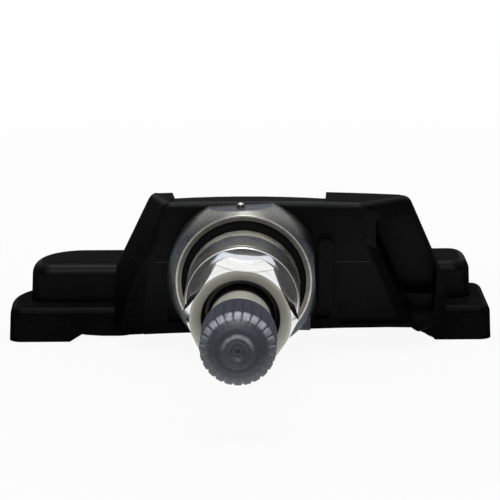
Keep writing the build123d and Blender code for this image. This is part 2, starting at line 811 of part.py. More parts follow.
def make_cup():
    """Metal cup behind the wheel: turned shoulder, two flats, an anti-turn key and a pip."""
    rim_in = CUP_RIM_R - CUP_WALL
    edge_y = face_y - CUP_EDGE
    bulge_r = (CUP_R + CUP_RIM_R) / 2 + CUP_SHOULDER_BULGE
    bulge_y = (edge_y + cup_rim_y) / 2
    hole = STEM_TAIL_R + RUNNING_FIT
    edges = [
        Line((hole, face_y), (CUP_R, face_y)),
        Line((CUP_R, face_y), (CUP_R, edge_y)),
        ThreePointArc((CUP_R, edge_y), (bulge_r, bulge_y), (CUP_RIM_R, cup_rim_y)),
        Line((CUP_RIM_R, cup_rim_y), (rim_in, cup_rim_y)),
        Line((rim_in, cup_rim_y), (rim_in, cup_floor_y)),
        Line((rim_in, cup_floor_y), (hole, cup_floor_y)),
        Line((hole, cup_floor_y), (hole, face_y)),
    ]
    cup = revolve(make_face(edges), axis=Axis.Y)
    outside = 2 * CUP_R
    for turn in (0, 90):
        waste = span_box(-outside, outside, -outside, outside, CUP_FLAT, outside)
        cup = cup - Rot(Y=turn - CUP_TILT) * waste
    pip = Rot(Y=-CUP_TILT) * Pos(0, face_y - CUP_EDGE, CUP_FLAT) * Sphere(PIP_R)
    key = span_box(KEY_X - KEY_SIZE, KEY_X, face_y - KEY_T, face_y, KEY_Z, KEY_Z + KEY_SIZE)
    return cup + pip + key


def make_grommet():
    """Rubber seal: fills the cup, seals on the wheel and centres the stem in the valve hole."""
    inner = STEM_THREAD_R + RUBBER_GAP
    over_flange = STEM_FLANGE_R + RUBBER_GAP
    outer = CUP_RIM_R - CUP_WALL - RUBBER_GAP
    return turned(
        (over_flange, cup_floor_y),
        (outer, cup_floor_y),
        (outer, cup_rim_y + SEAL_ROUND),
        (SEAL_FACE_R + SEAL_ROUND, SEAL_ROUND),
        (SEAL_FACE_R, 0),
        (SEAL_NECK_R, 0),
        (SEAL_NECK_R, -SEAL_NECK_LENGTH),
        (inner, -SEAL_NECK_LENGTH),
        (inner, flange_y),
        (over_flange, flange_y),
    )


def make_stem():
    """Turned stem: tail in the housing, flange in the cup, clamp thread, bare neck and cap thread."""
    thread_end = nut_front_y - STEM_THREAD_PAST_NUT
    neck_r = CAP_THREAD_R + STEM_NECK_STEP
    neck_drop = STEM_THREAD_R - neck_r
    lead = STEM_NECK_STEP / 2
    outside = turned(
        (0, tail_y),
        (STEM_TAIL_R, tail_y),
        (STEM_TAIL_R, cup_floor_y),
        (STEM_FLANGE_R, cup_floor_y),
        (STEM_FLANGE_R, flange_y),
        (STEM_THREAD_R, flange_y),
        (STEM_THREAD_R, thread_end),
        (neck_r, thread_end - neck_drop),
        (neck_r, cap_back_y + LOOSE_FIT + STEM_NECK_STEP),
        (CAP_THREAD_R, cap_back_y + LOOSE_FIT),
        (CAP_THREAD_R, stem_end_y + lead),
        (CAP_THREAD_R - lead, stem_end_y),
        (0, stem_end_y),
    )
    bore_y = stem_end_y + CORE_BORE_DEPTH
    taper = turned(
        (0, bore_y),
        (CORE_BORE_R, bore_y),
        (AIR_BORE_R, bore_y + CORE_TAPER),
        (0, bore_y + CORE_TAPER),
    )
    tap_y = tail_y - SCREW_IN_STEM - SCREW_TAP_EXTRA
    outside = outside - rod(CORE_BORE_R, stem_end_y, bore_y) - taper
    outside = outside - rod(AIR_BORE_R, bore_y, tail_y)
    return outside - rod(SCREW_R + RUNNING_FIT, tap_y, tail_y)


def make_sleeve():
    """Turned sleeve that presses on the outside of the wheel, recessed over the seal's neck."""
    bore = STEM_THREAD_R + LOOSE_FIT
    recess = SEAL_NECK_R + 2 * LOOSE_FIT
    back = -RUBBER_GAP
    front = sleeve_end_y + FACE_GAP
    edge = SLEEVE_R - SLEEVE_CHAMFER
    sleeve = turned(
        (recess, back),
        (edge, back),
        (SLEEVE_R, back - SLEEVE_CHAMFER),
        (SLEEVE_R, front + SLEEVE_CHAMFER),
        (edge, front),
        (bore, front),
        (bore, -SLEEVE_RECESS),
        (recess, -SLEEVE_RECESS),
    )
    groove_end = -SLEEVE_GROOVE_AT - SLEEVE_GROOVE_W
    groove = rod(2 * SLEEVE_R, -SLEEVE_GROOVE_AT, groove_end)
    groove = groove - rod(SLEEVE_R - SLEEVE_GROOVE_DEPTH, -SLEEVE_GROOVE_AT, groove_end)
    return sleeve - groove


def make_nut():
    """Hexagon nut with a thin washer face, chamfered corners and a counterbored front."""
    corner_r = NUT_ACROSS_FLATS / math.sqrt(3)
    hexagon = Pos(0, nut_hex_y, 0) * Rot(Y=NUT_TURN) * (Plane.XZ * RegularPolygon(corner_r, 6))
    prism = extrude(hexagon, NUT_HEX_LENGTH, dir=(0, -1, 0))
    chamfered = turned(
        (0, nut_hex_y),
        (NUT_CHAMFER_R, nut_hex_y),
        (corner_r, nut_front_y + NUT_FRONT_CHAMFER + NUT_CORNER_LENGTH),
        (corner_r, nut_front_y + NUT_FRONT_CHAMFER),
        (NUT_CHAMFER_R, nut_front_y),
        (0, nut_front_y),
    )
    nut = (prism & chamfered) + rod(NUT_WASHER_R, nut_back_y, nut_hex_y)
    thread_end = nut_back_y - NUT_THREAD_LENGTH
    sink = turned(
        (0, nut_front_y),
        (NUT_COUNTERSINK_R, nut_front_y),
        (NUT_COUNTERBORE_R, nut_front_y + NUT_COUNTERSINK),
        (0, nut_front_y + NUT_COUNTERSINK),
    )
    nut = nut - rod(STEM_THREAD_R + RUNNING_FIT, nut_back_y, thread_end)
    return nut - rod(NUT_COUNTERBORE_R, thread_end, nut_front_y) - sink


def make_cap():
    """Plastic dust cap with splines round its skirt and a dished face."""
    bore = CAP_THREAD_R + RUNNING_FIT
    inside_y = cap_front_y + CAP_TOP
    shoulder_y = cap_front_y + CAP_SHOULDER
    cap = turned(
        (bore, cap_back_y),
        (CAP_R, cap_back_y),
        (CAP_R, shoulder_y),
        (CAP_FACE_R, cap_front_y),
        (CAP_DISH_R, cap_front_y),
        (CAP_DISH_R - CAP_DISH, cap_front_y + CAP_DISH),
        (CAP_NUB_R, cap_front_y + CAP_DISH),
        (CAP_NUB_R - CAP_DISH, cap_front_y + 2 * CAP_DISH),
        (0, cap_front_y + 2 * CAP_DISH),
        (0, inside_y),
        (bore, inside_y),
    )
    groove = rod(CAP_GROOVE_R, cap_back_y, cap_front_y)
    groove = Pos(CAP_R + CAP_GROOVE_R - CAP_GROOVE_DEPTH, 0, 0) * groove
    for index in range(CAP_SPLINES):
        cap = cap - Rot(Y=index * 360 / CAP_SPLINES) * groove
    return cap


def make_cap_seal():
    """Rubber disc between the cap and the end of the stem."""
    seal_y = cap_front_y + CAP_TOP + FACE_GAP
    return rod(CAP_SEAL_R, seal_y, seal_y + CAP_SEAL_T)


def make_screw():
    """Hollow socket screw: lets air through to the stem."""
    socket = Plane.XZ * RegularPolygon(SCREW_SOCKET / math.sqrt(3), 6)
    head_y = screw_seat_y + SCREW_HEAD
    screw = rod(SCREW_HEAD_R, screw_seat_y, head_y)
    screw = screw + rod(SCREW_R, tail_y - SCREW_IN_STEM, screw_seat_y)
    screw = screw - rod(SCREW_BORE_R, tail_y - SCREW_IN_STEM, head_y)
    return screw - extrude(Pos(0, head_y, 0) * socket, SCREW_SOCKET_DEPTH, dir=(0, -1, 0))


def make_core_body():
    """Screwed barrel of the valve core, with a spring chamber in its head."""
    passage = CORE_PIN_R + LOOSE_FIT
    return turned(
        (passage, core_inner_y),
        (CORE_NECK_R, core_inner_y),
        (CORE_NECK_R, core_neck_y),
        (CORE_HEAD_R, core_neck_y),
        (CORE_HEAD_R, core_head_y),
        (CORE_CHAMBER_R, core_head_y),
        (CORE_CHAMBER_R, chamber_floor_y),
        (passage, chamber_floor_y),
    )


def make_core_gasket():
    """Tapered ring that seals the barrel in the stem."""
    bore_y = stem_end_y + CORE_BORE_DEPTH
    start = bore_y + CORE_TAPER / 2
    inner = CORE_NECK_R + RUBBER_GAP
    narrow = (CORE_BORE_R + AIR_BORE_R) / 2 - RUBBER_GAP
    wide = CORE_BORE_R - RUBBER_GAP
    return turned(
        (inner, start),
        (narrow, start),
        (wide, bore_y),
        (wide, start - GASKET_LENGTH),
        (inner, start - GASKET_LENGTH),
    )


def make_core_pin():
    """Pin with the collar that the spring pushes on, and the foot that holds its seal."""
    tip_y = stem_end_y + CORE_PIN_SUNK
    cup_y = core_inner_y + FACE_GAP
    foot_y = cup_y + CORE_CUP_T
    pin = rod(CORE_PIN_R, tip_y, foot_y + CORE_FOOT_T)
    pin = pin + rod(CORE_COLLAR_R, collar_y, collar_y + CORE_COLLAR_T)
    return pin + rod(CORE_FOOT_R, foot_y, foot_y + CORE_FOOT_T)


def make_core_cup():
    """Seal on the pin, drawn against the inner end of the barrel."""
    cup_y = core_inner_y + FACE_GAP
    cup = rod(CORE_CUP_R, cup_y, cup_y + CORE_CUP_T)
    return cup - rod(CORE_PIN_R, cup_y, cup_y + CORE_CUP_T)


def make_core_spring():
    """Coil spring between the chamber floor and the pin's collar."""
    margin = SPRING_WIRE_R + FACE_GAP
    start = collar_y + CORE_COLLAR_T + margin
    height = chamber_floor_y - margin - start
    path = Helix(pitch=height / SPRING_TURNS, height=height, radius=SPRING_R)
    wire = Plane(origin=path @ 0, z_dir=path % 0) * Circle(SPRING_WIRE_R)
    coil = sweep(wire, path=path)
    return Pos(0, start, 0) * Rot(X=-90) * coil


def main():
    """Build every piece and write it to its own file."""
    envelope = make_envelope(make_block())
    pieces = {
        "housing": make_housing(envelope),
        "bottom_cover": make_cover(envelope),
        "circuit_board": make_board(),
        "battery": make_battery(),
        "battery_tab_lower": make_tab_lower(),
        "battery_tab_upper": make_tab_upper(),
        "sensor_chip": make_chip(),
        "port_seal": make_port_seal(),
        "crystal": make_crystal(),
        "wake_coil": make_coil(),
        "antenna": make_antenna(),
        "seal_cup": make_cup(),
        "grommet": make_grommet(),
        "valve_stem": make_stem(),
        "fixing_screw": make_screw(),
        "clamp_sleeve": make_sleeve(),
        "hex_nut": make_nut(),
        "valve_cap": make_cap(),
        "cap_seal": make_cap_seal(),
        "core_body": make_core_body(),
        "core_gasket": make_core_gasket(),
        "core_pin": make_core_pin(),
        "core_cup": make_core_cup(),
        "core_spring": make_core_spring(),
    }
    os.makedirs("parts", exist_ok=True)
    for name, shape in pieces.items():
        export_step(shape, f"parts/{name}.step")


main()
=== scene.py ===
"""Looks of a clamp-in tyre pressure sensor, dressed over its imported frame.

The frame is in metres: X along the housing, Y along the valve into the wheel, Z up. Sub-assemblies give their
sizes in millimetres and are scaled as points are made. Finishes and the studio give theirs in metres.
"""

import logging
import math
from dataclasses import dataclass, field
from enum import Enum

import bmesh
import bpy
from mathutils import Matrix, Vector
from mathutils.bvhtree import BVHTree


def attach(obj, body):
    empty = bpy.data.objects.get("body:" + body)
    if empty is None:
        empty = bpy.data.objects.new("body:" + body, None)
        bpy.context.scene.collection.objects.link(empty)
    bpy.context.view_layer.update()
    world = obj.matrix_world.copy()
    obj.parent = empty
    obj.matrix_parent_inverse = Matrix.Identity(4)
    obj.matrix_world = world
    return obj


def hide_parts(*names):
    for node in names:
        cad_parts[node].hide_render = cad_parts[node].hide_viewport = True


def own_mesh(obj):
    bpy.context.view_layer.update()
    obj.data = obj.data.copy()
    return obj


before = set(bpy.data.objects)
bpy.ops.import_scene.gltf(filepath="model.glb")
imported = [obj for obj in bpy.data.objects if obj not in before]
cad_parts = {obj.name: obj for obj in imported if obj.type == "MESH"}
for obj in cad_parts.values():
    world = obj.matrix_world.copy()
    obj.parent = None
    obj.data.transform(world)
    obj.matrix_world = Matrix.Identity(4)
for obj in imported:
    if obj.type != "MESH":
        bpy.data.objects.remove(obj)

LOG = logging.getLogger("pressure_sensor")
MM = 0.001
TURN = 2 * math.pi
SHARP_ANGLE = math.radians(28.0)
SAME_PLACE = 1e-7
LAND = "land"
SEAM = "seam"
# Places of the colour sockets on Blender's mix node.
MIX_FIRST, MIX_SECOND, MIX_RESULT = 6, 7, 2
# Range that most of a noise falls in.
MOSTLY = (0.3, 0.7)

Colour = tuple[float, float, float]
Point = tuple[float, float]
Place = tuple[float, float, float]
Marked = tuple[float, float, float]
Mesh = bpy.types.Mesh
Socket = bpy.types.NodeSocket
Feed = Socket | float

WHITE: Colour = (1.0, 1.0, 1.0)


class Body(Enum):
    """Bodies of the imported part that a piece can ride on."""

    SENSOR = "sensor"
    SLEEVE = "sleeve"
    NUT = "nut"
    CAP = "cap"


class Around(Enum):
    """Coordinates that a pattern on metal follows."""

    VALVE = "valve"
    FREE = "free"


class Nodes:
    """Adds and joins the nodes of one tree."""

    def __init__(self, tree: bpy.types.NodeTree) -> None:
        """Take over a tree and empty it."""
        self.tree = tree
        tree.nodes.clear()

    def feed(self, target: Socket, value: object) -> None:
        """Give an input a link or a constant.

        Args:
            target: The input.
            value: Socket to link, or constant.
        """
        if isinstance(value, Socket):
            self.tree.links.new(value, target)
        else:
            target.default_value = (*value, 1.0) if target.type == "RGBA" else value

    def add(
        self, kind: str, feeds: dict[str | int, object] | None = None, **settings: object
    ) -> bpy.types.Node:
        """Add a node.

        Args:
            kind: Blender's name of the node type.
            feeds: Links or constants for its inputs, by name or place.
            **settings: Properties to set on it.

        Returns:
            The new node.
        """
        node = self.tree.nodes.new(kind)
        for name, value in settings.items():
            setattr(node, name, value)
        for key, value in (feeds or {}).items():
            self.feed(node.inputs[key], value)
        return node

    def apply(self, operation: str, first: Feed, *others: Feed) -> Socket:
        """Apply an operation to one value, or to several from left to right.

        Args:
            operation: Blender's name of the operation.
            first: First operand.
            *others: Further operands.

        Returns:
            The result's socket.
        """
        for other in others or (0.0,):
            first = self.add("ShaderNodeMath", {0: first, 1: other}, operation=operation).outputs[0]
        return first

    def times(self, *factors: Feed) -> Socket:
        """Product of values."""
        return self.apply("MULTIPLY", *factors)

    def spread(self, value: Socket, low: float, high: float, start: float = 0.0, end: float = 1.0) -> Socket:
        """Map the range from low to high to the one from start to end, held at its ends."""
        feeds = {"Value": value, "From Min": low, "From Max": high, "To Min": start, "To Max": end}
        return self.add("ShaderNodeMapRange", feeds).outputs["Result"]

    def below(self, value: Socket, edge: float, soft: float) -> Socket:
        """Share that is 1 below an edge and 0 above it."""
        return self.spread(value, edge - soft, edge + soft, 1.0, 0.0)

    def near(self, value: Socket, middle: float, full: float, none: float) -> Socket:
        """Share that is 1 up to one distance from a middle value and 0 from another on."""
        away = self.apply("ABSOLUTE", self.apply("SUBTRACT", value, middle))
        return self.spread(away, full, none, 1.0, 0.0)

    def hypotenuse(self, first: Socket, second: Socket) -> Socket:
        """Distance that two lengths at a right angle span."""
        return self.apply("SQRT", self.apply("ADD", self.times(first, first), self.times(second, second)))


class Graph(Nodes):
    """Nodes of one material round its main shader."""

    def __init__(self, material: bpy.types.Material) -> None:
        """Start with a main shader, an output and the place on the piece.

        Args:
            material: The material whose nodes are made.
        """
        material.use_nodes = True
        super().__init__(material.node_tree)
        self.shader = self.add("ShaderNodeBsdfPrincipled")
        self.output = self.add("ShaderNodeOutputMaterial", {"Surface": self.shader.outputs[0]})
        self.place = self.add("ShaderNodeTexCoord").outputs["Object"]
        self.x, self.y, self.z = self.add("ShaderNodeSeparateXYZ", {0: self.place}).outputs

    def shade(self, values: dict[str, object]) -> None:
        """Give inputs of the main shader links or constants, by name."""
        for name, value in values.items():
            self.feed(self.shader.inputs[name], value)

    def noise(self, place: Socket, scale: float, detail: float = 2.0, roughness: float = 0.5) -> Socket:
        """Grey noise with a number of patches for each metre, or for each unit of the place."""
        feeds = {"Vector": place, "Scale": scale, "Detail": detail, "Roughness": roughness}
        return self.add("ShaderNodeTexNoise", feeds).outputs["Fac"]

    def blend(self, factor: Socket, first: Colour | Socket, second: Colour | Socket) -> Socket:
        """Mix two colours: a factor of 0 gives the first, 1 the second."""
        feeds = {"Factor": factor, MIX_FIRST: first, MIX_SECOND: second}
        return self.add("ShaderNodeMix", feeds, data_type="RGBA").outputs[MIX_RESULT]

    def bump(self, height: Socket, depth: float, strength: float) -> None:
        """Let a grey value raise the surface, by a depth in metres for its full range."""
        feeds = {"Strength": strength, "Distance": depth, "Height": height}
        self.shade(dict.fromkeys(("Normal", "Coat Normal"), self.add("ShaderNodeBump", feeds).outputs[0]))

    def radius(self) -> Socket:
        """Distance from the valve axis."""
        return self.hypotenuse(self.x, self.z)

    def turned_place(self, along: float, across: float) -> Socket:
        """Coordinates that are the same all round the valve axis, stretched along it and away from it."""
        feeds = {0: self.times(self.y, along), 1: self.times(self.radius(), across)}
        return self.add("ShaderNodeCombineXYZ", feeds).outputs[0]

    def facing(self, axis: str) -> Socket:
        """Part of a face's normal along an axis."""
        normal = self.add("ShaderNodeNewGeometry").outputs["Normal"]
        return self.add("ShaderNodeSeparateXYZ", {0: normal}).outputs[axis]

    def upward(self, low: float, high: float) -> Socket:
        """Share by which a face looks up, for normals from one height to another."""
        return self.spread(self.facing("Z"), low, high)

    def sideways(self, low: float, high: float) -> Socket:
        """Share by which a face looks to either side, for normals from one width to another."""
        return self.spread(self.apply("ABSOLUTE", self.facing("X")), low, high)

    def stored(self, name: str) -> Socket:
        """Grey value stored on the mesh under a name."""
        return self.add("ShaderNodeAttribute", attribute_name=name).outputs["Fac"]


@dataclass(frozen=True)
class Finish:
    """A finish in two tones that becomes one material."""

    name: str
    dark: Colour
    light: Colour

    def material(self) -> bpy.types.Material:
        """Build the material.

        Returns:
            The new material.
        """
        material = bpy.data.materials.new(self.name)
        self.paint(Graph(material))
        return material

    def paint(self, graph: Graph) -> None:
        """Set up the shader, which every kind of finish does in its own way."""
        raise NotImplementedError


@dataclass(frozen=True)
class MouldedPlastic(Finish):
    """Filled plastic with the fine grain of an eroded mould and a pale tone on upward faces: dust, and a
    painted light that makes the tops paler.
    """

    # pale tone on upward faces: settled dust, and a painted light on the tops
    dust_and_top_light: Colour = (0.009, 0.009, 0.0098)
    roughness: float = 0.32
    skin: float = 0.3
    grain: float = 3200.0
    grain_depth: float = 0.03 * MM
    patches: float = 140.0
    swirl: float = 0.0
    swirl_along: float = 500.0
    swirl_across: float = 2200.0
    dulled: float = 0.16
    # painted shade: the skin's gloss fades from here down, so lower walls look darker
    shade_fade_bottom: float = -8.0 * MM
    shade_fade_top: float = 4.0 * MM
    dust_and_top_light_normals: Point = (0.55, 0.98)
    tops: Point = (0.85, 0.99)
    # painted shade: faces that look to the side lose gloss
    shaded_flank_normals: Point = (0.4, 0.75)

    def paint(self, graph: Graph) -> None:
        """Lay grain, swirl, dust with a painted top light, and wear over the two tones.

        Args:
            graph: Nodes of the material.
        """
        fine = graph.noise(graph.place, self.grain, 3.0, 0.6)
        broad = graph.noise(graph.place, self.patches, 3.0)
        tone = graph.apply("ADD", graph.times(fine, 0.6), graph.times(broad, 0.4))
        if self.swirl:
            rings = graph.noise(graph.turned_place(self.swirl_along, self.swirl_across), 1.0)
            tone = graph.apply("ADD", tone, graph.spread(rings, *MOSTLY, -self.swirl, self.swirl))
        base = graph.blend(graph.spread(tone, 0.4, 0.6), self.dark, self.light)
        # dust on upward faces, together with a painted light that makes the tops paler
        dust_and_top_light_share = graph.times(graph.upward(*self.dust_and_top_light_normals), graph.spread(tone, *MOSTLY, 0.3, 1.0))
        graph.shade({
            "Base Color": self.worn(graph, graph.blend(dust_and_top_light_share, base, self.dust_and_top_light)),
            "Roughness": graph.spread(broad, *MOSTLY, self.roughness - 0.05, self.roughness + 0.06),
            "Specular IOR Level": 0.0,
            "Coat Weight": self.gloss(graph),
            "Coat Roughness": self.roughness,
        })
        graph.bump(fine, self.grain_depth, 0.5)

    def worn(self, graph: Graph, base: Socket) -> Socket:
        """Colour after wear, which here is none."""
        return base

    def gloss(self, graph: Graph) -> Socket:
        """Weight of the smooth skin, less on tops where dust lies, and less on flanks and towards the bottom
        as painted shade.

        Args:
            graph: Nodes of the material.

        Returns:
            The weight's socket.
        """
        top = graph.spread(graph.upward(*self.tops), 0.0, 1.0, self.skin, self.skin * self.dulled)
        # painted shade: less gloss towards the bottom
        lower_shade = graph.spread(graph.z, self.shade_fade_bottom, self.shade_fade_top, self.dulled, 1.0)
        # painted shade: less gloss on faces that look to the side
        flank_shade = graph.spread(graph.sideways(*self.shaded_flank_normals), 0.0, 1.0, 1.0, self.dulled)
        return graph.times(top, lower_shade, flank_shade)


@dataclass(frozen=True)
class WornAndHighlitCap(MouldedPlastic):
    """Cap plastic: grained on the skirt, handled smooth on the dome, rubbed pale on the ends of the lands,
    with a painted highlight where they and the middle ring face up.
    """

    # pale of rubbed wear, laid only on upward faces as a painted highlight
    pale: Colour = (0.56, 0.58, 0.64)
    edge_radius: float = 4.65 * MM
    edge_half: float = 0.55 * MM
    ring_radius: float = 2.0 * MM
    ring_half: float = 0.55 * MM
    ring_share: float = 0.8
    highlit_land_normals: Point = (0.1, 0.5)
    highlit_ring_normals: Point = (0.0, 0.12)
    scuffs: float = 1100.0
    dome: float = -35.5 * MM
    dome_soft: float = 0.12 * MM

    def ahead(self, graph: Graph) -> Socket:
        """Share that is 1 on the dome and 0 on the skirt."""
        return graph.below(graph.y, self.dome, self.dome_soft)

    def worn(self, graph: Graph, base: Socket) -> Socket:
        """Colour with the ends of the lands and the ring round the middle rubbed pale, only on their upward
        faces, which paints a highlight there.

        Args:
            graph: Nodes of the material.
            base: Colour before wear.

        Returns:
            The colour's socket.
        """
        radius = graph.radius()
        edge = graph.near(radius, self.edge_radius, self.edge_half * 0.5, self.edge_half)
        # painted highlight: only the land ends that face up go pale
        land = graph.times(edge, graph.stored(LAND), graph.upward(*self.highlit_land_normals))
        middle = graph.near(radius, self.ring_radius, 0.0, self.ring_half)
        # painted highlight: only the upper side of the middle ring goes pale
        ring = graph.times(middle, self.ring_share, graph.upward(*self.highlit_ring_normals))
        scuffs = graph.spread(graph.noise(graph.place, self.scuffs, 3.0, 0.6), 0.35, 0.55, 0.35, 1.0)
        rubbed = graph.times(graph.apply("MAXIMUM", land, ring), scuffs, self.ahead(graph))
        return graph.blend(rubbed, base, self.pale)

    def gloss(self, graph: Graph) -> Socket:
        """Weight of the smooth skin: little on the skirt, full on the dome."""
        return graph.spread(self.ahead(graph), 0.0, 1.0, self.skin * self.dulled, self.skin)


@dataclass(frozen=True)
class Band:
    """A band of colour round the valve, from one station to another further out, or to the end: stains on the
    sleeve, painted shade on the stem.
    """

    colour: Colour
    back: float
    front: float = -1.0
    soft: float = 0.3 * MM
    streaked: float = 0.85

    def share(self, graph: Graph, rings: Socket) -> Socket:
        """Share by which the band covers the metal.

        Args:
            graph: Nodes of the material.
            rings: Pattern that breaks the band up.

        Returns:
            The share's socket.
        """
        past, ahead = (graph.below(graph.y, edge, self.soft) for edge in (self.back, self.front))
        streaks = graph.spread(rings, *MOSTLY, 1.0, self.streaked)
        return graph.times(graph.apply("SUBTRACT", past, ahead), streaks)


@dataclass
class Look:
    """What the shader of a metal takes, changed by the marks of each piece."""

    colour: Socket
    roughness: Socket
    metallic: Feed
    height: Socket


@dataclass(frozen=True)
class TurnedMetal(Finish):
    """Metal with fine rings left by the tool, faint stains, and bands: stains on the sleeve, painted shade on
    the stem.
    """

    roughness: float = 0.3
    rings: float = 9000.0
    ring_depth: float = 0.012 * MM
    stain: float = 0.25
    around: Around = Around.VALVE
    metallic: float = 1.0
    edge_tint: Colour = WHITE
    stains: float = 420.0
    relief: float = 0.35
    bands: tuple[Band, ...] = ()

    def paint(self, graph: Graph) -> None:
        """Lay rings and stains over the two tones, then the marks of the piece.

        Args:
            graph: Nodes of the material.
        """
        if self.around is Around.VALVE:
            rings = graph.noise(graph.turned_place(self.rings, self.rings), 1.0, 2.0, 0.6)
            bands = graph.noise(graph.turned_place(self.rings / 8, self.rings / 8), 1.0)
        else:
            rings = graph.noise(graph.place, self.rings / 3, 2.0, 0.6)
            bands = graph.noise(graph.place, self.rings / 24)
        stains = graph.noise(graph.place, self.stains, 4.0, 0.6)
        tone = graph.apply("ADD", graph.times(rings, 0.4), graph.times(bands, 0.6))
        worn = graph.apply("SUBTRACT", tone, graph.spread(stains, 0.5, 0.75, 0.0, self.stain))
        colour = graph.blend(graph.spread(worn, 0.32, 0.62), self.dark, self.light)
        rough = graph.spread(stains, 0.35, 0.7, self.roughness - 0.05, self.roughness + 0.08)
        look = Look(colour, rough, self.metallic, rings)
        self.mark(graph, look)
        graph.shade({
            "Base Color": look.colour,
            "Roughness": look.roughness,
            "Metallic": look.metallic,
            "Specular Tint": self.edge_tint,
        })
        graph.bump(look.height, self.ring_depth, self.relief)

    def mark(self, graph: Graph, look: Look) -> None:
        """Add the marks of one piece, which here are its bands."""
        for band in self.bands:
            look.colour = graph.blend(band.share(graph, look.height), look.colour, band.colour)


@dataclass(frozen=True)
class PlatedNut(TurnedMetal):
    """Bright plating on the flats, a dull machined sink and front face, a bore painted near black as shade,
    and seams painted dark as shade.
    """

    sink: Colour = (0.74, 0.74, 0.665)
    sink_radius: float = 6.72 * MM
    sink_back: float = -19.3 * MM
    sink_soft: float = 0.1 * MM
    # painted shade: the bore, which lies in shadow, near black
    bore: Colour = (0.002, 0.002, 0.0018)
    shaded_bore_radius: float = 5.56 * MM
    soft: float = 0.06 * MM
    face: float = -20.5 * MM
    # painted shade: dark lines where flats meet chamfers, for the shade and dark reflections of rounded edges
    seam: Colour = (0.07, 0.07, 0.075)
    dull: float = 0.35
    shaded_bore_metallic: float = 0.2
    sink_loss: float = 0.5
    relief: float = 0.3

    def mark(self, graph: Graph, look: Look) -> None:
        """Dull the machined places, paint the bore near black as shade, and paint dark seams between flats
        and chamfers as shade.

        Args:
            graph: Nodes of the material.
            look: What the shader takes.
        """
        radius = graph.radius()
        ahead = graph.below(graph.y, self.sink_back, self.sink_soft)
        inner = graph.below(radius, self.sink_radius, self.soft)
        face = graph.spread(graph.y, self.face, self.face + self.soft, 1.0, 0.0)
        machined = graph.apply("MAXIMUM", graph.times(ahead, inner), face)
        # painted shade: near black inside the bore
        bore_shade = graph.below(radius, self.shaded_bore_radius, self.soft)
        # painted shade along the seams between flats and chamfers
        plated = graph.blend(graph.stored(SEAM), look.colour, self.seam)
        look.colour = graph.blend(bore_shade, graph.blend(machined, plated, self.sink), self.bore)
        dull = graph.times(graph.apply("MAXIMUM", machined, bore_shade), self.dull)
        look.roughness = graph.apply("ADD", look.roughness, dull)
        open_metal = graph.spread(bore_shade, 0.0, 1.0, 1.0, self.shaded_bore_metallic)
        bright = graph.apply("SUBTRACT", open_metal, graph.times(machined, self.sink_loss))
        look.metallic = graph.spread(bright, 0.0, 1.0)


@dataclass(frozen=True)
class ZincCup(TurnedMetal):
    """Zinc plating with a crystal mottle, rubbed bright on the rim, with a painted highlight on the upper
    shoulder and on the pip.
    """

    rim: Colour = (0.26, 0.245, 0.205)
    rim_y: float = 2.3 * MM
    rim_soft: float = 0.05 * MM
    line: Colour = (0.85, 0.84, 0.79)
    line_radius: float = 9.86 * MM
    line_half: float = 0.13 * MM
    line_y: float = 2.45 * MM
    line_soft: float = 0.08 * MM
    # warm tint of the crystal mottle, also a painted highlight on the shoulder
    warm_mottle_and_highlight: Colour = (0.25, 0.248, 0.226)
    outer: Colour = (0.024, 0.028, 0.036)
    outer_start: float = 9.9 * MM
    outer_end: float = 10.7 * MM
    # painted highlight: a near-white dot on the pip
    pip: Colour = (0.95, 0.95, 0.95)
    pip_place: Place = (-0.51 * MM, 5.8 * MM, 10.85 * MM)
    pip_highlight_reach: float = 0.45 * MM
    grains: float = 2600.0
    mottle: float = 0.2
    # painted highlight: faces that look part way up
    shoulder_highlight_starts: Point = (0.5, 0.82)
    shoulder_highlight_ends: Point = (0.9, 0.97)
    shoulder_highlight_share: float = 0.7
    relief: float = 0.4
    wear: float = 900.0

    def mark(self, graph: Graph, look: Look) -> None:
        """Add crystals, a dark outside, a warm painted highlight on the shoulder, the rubbed rim with its
        bright line, and a painted highlight on the pip.

        Args:
            graph: Nodes of the material.
            look: What the shader takes.
        """
        radius = graph.radius()
        crystals = graph.add("ShaderNodeTexVoronoi", {"Vector": graph.place, "Scale": self.grains})
        mottle = graph.spread(crystals.outputs["Distance"], 0.1, 0.7, 0.0, self.mottle)
        outside = graph.spread(radius, self.outer_start, self.outer_end)
        # painted highlight: a warm band on faces that look part way up
        shoulder = graph.apply(
            "SUBTRACT", graph.upward(*self.shoulder_highlight_starts), graph.upward(*self.shoulder_highlight_ends)
        )
        worn = graph.noise(graph.place, self.wear, 4.0, 0.7)
        edge = graph.below(graph.y, self.rim_y, self.rim_soft)
        line = graph.near(radius, self.line_radius, self.line_half * 0.7, self.line_half)
        ahead = graph.spread(graph.y, self.line_y, self.line_y + self.line_soft, 1.0, 0.0)
        reach = graph.add("ShaderNodeVectorMath", {0: graph.place, 1: self.pip_place}, operation="DISTANCE")
        marks = (
            (outside, self.outer),
            # crystal mottle, with the painted shoulder highlight in the same warm tint
            (graph.apply("ADD", mottle, graph.times(shoulder, self.shoulder_highlight_share)), self.warm_mottle_and_highlight),
            (graph.times(edge, graph.spread(worn, 0.3, 0.6, 0.4, 1.0)), self.rim),
            (graph.times(line, ahead, graph.spread(worn, 0.3, 0.55, 0.5, 1.0)), self.line),
            # painted highlight on the pip
            (graph.spread(reach.outputs["Value"], self.pip_highlight_reach * 0.8, self.pip_highlight_reach, 1.0, 0.0), self.pip),
        )
        for share, colour in marks:
            look.colour = graph.blend(share, look.colour, colour)
        look.height = graph.apply("ADD", look.height, mottle)


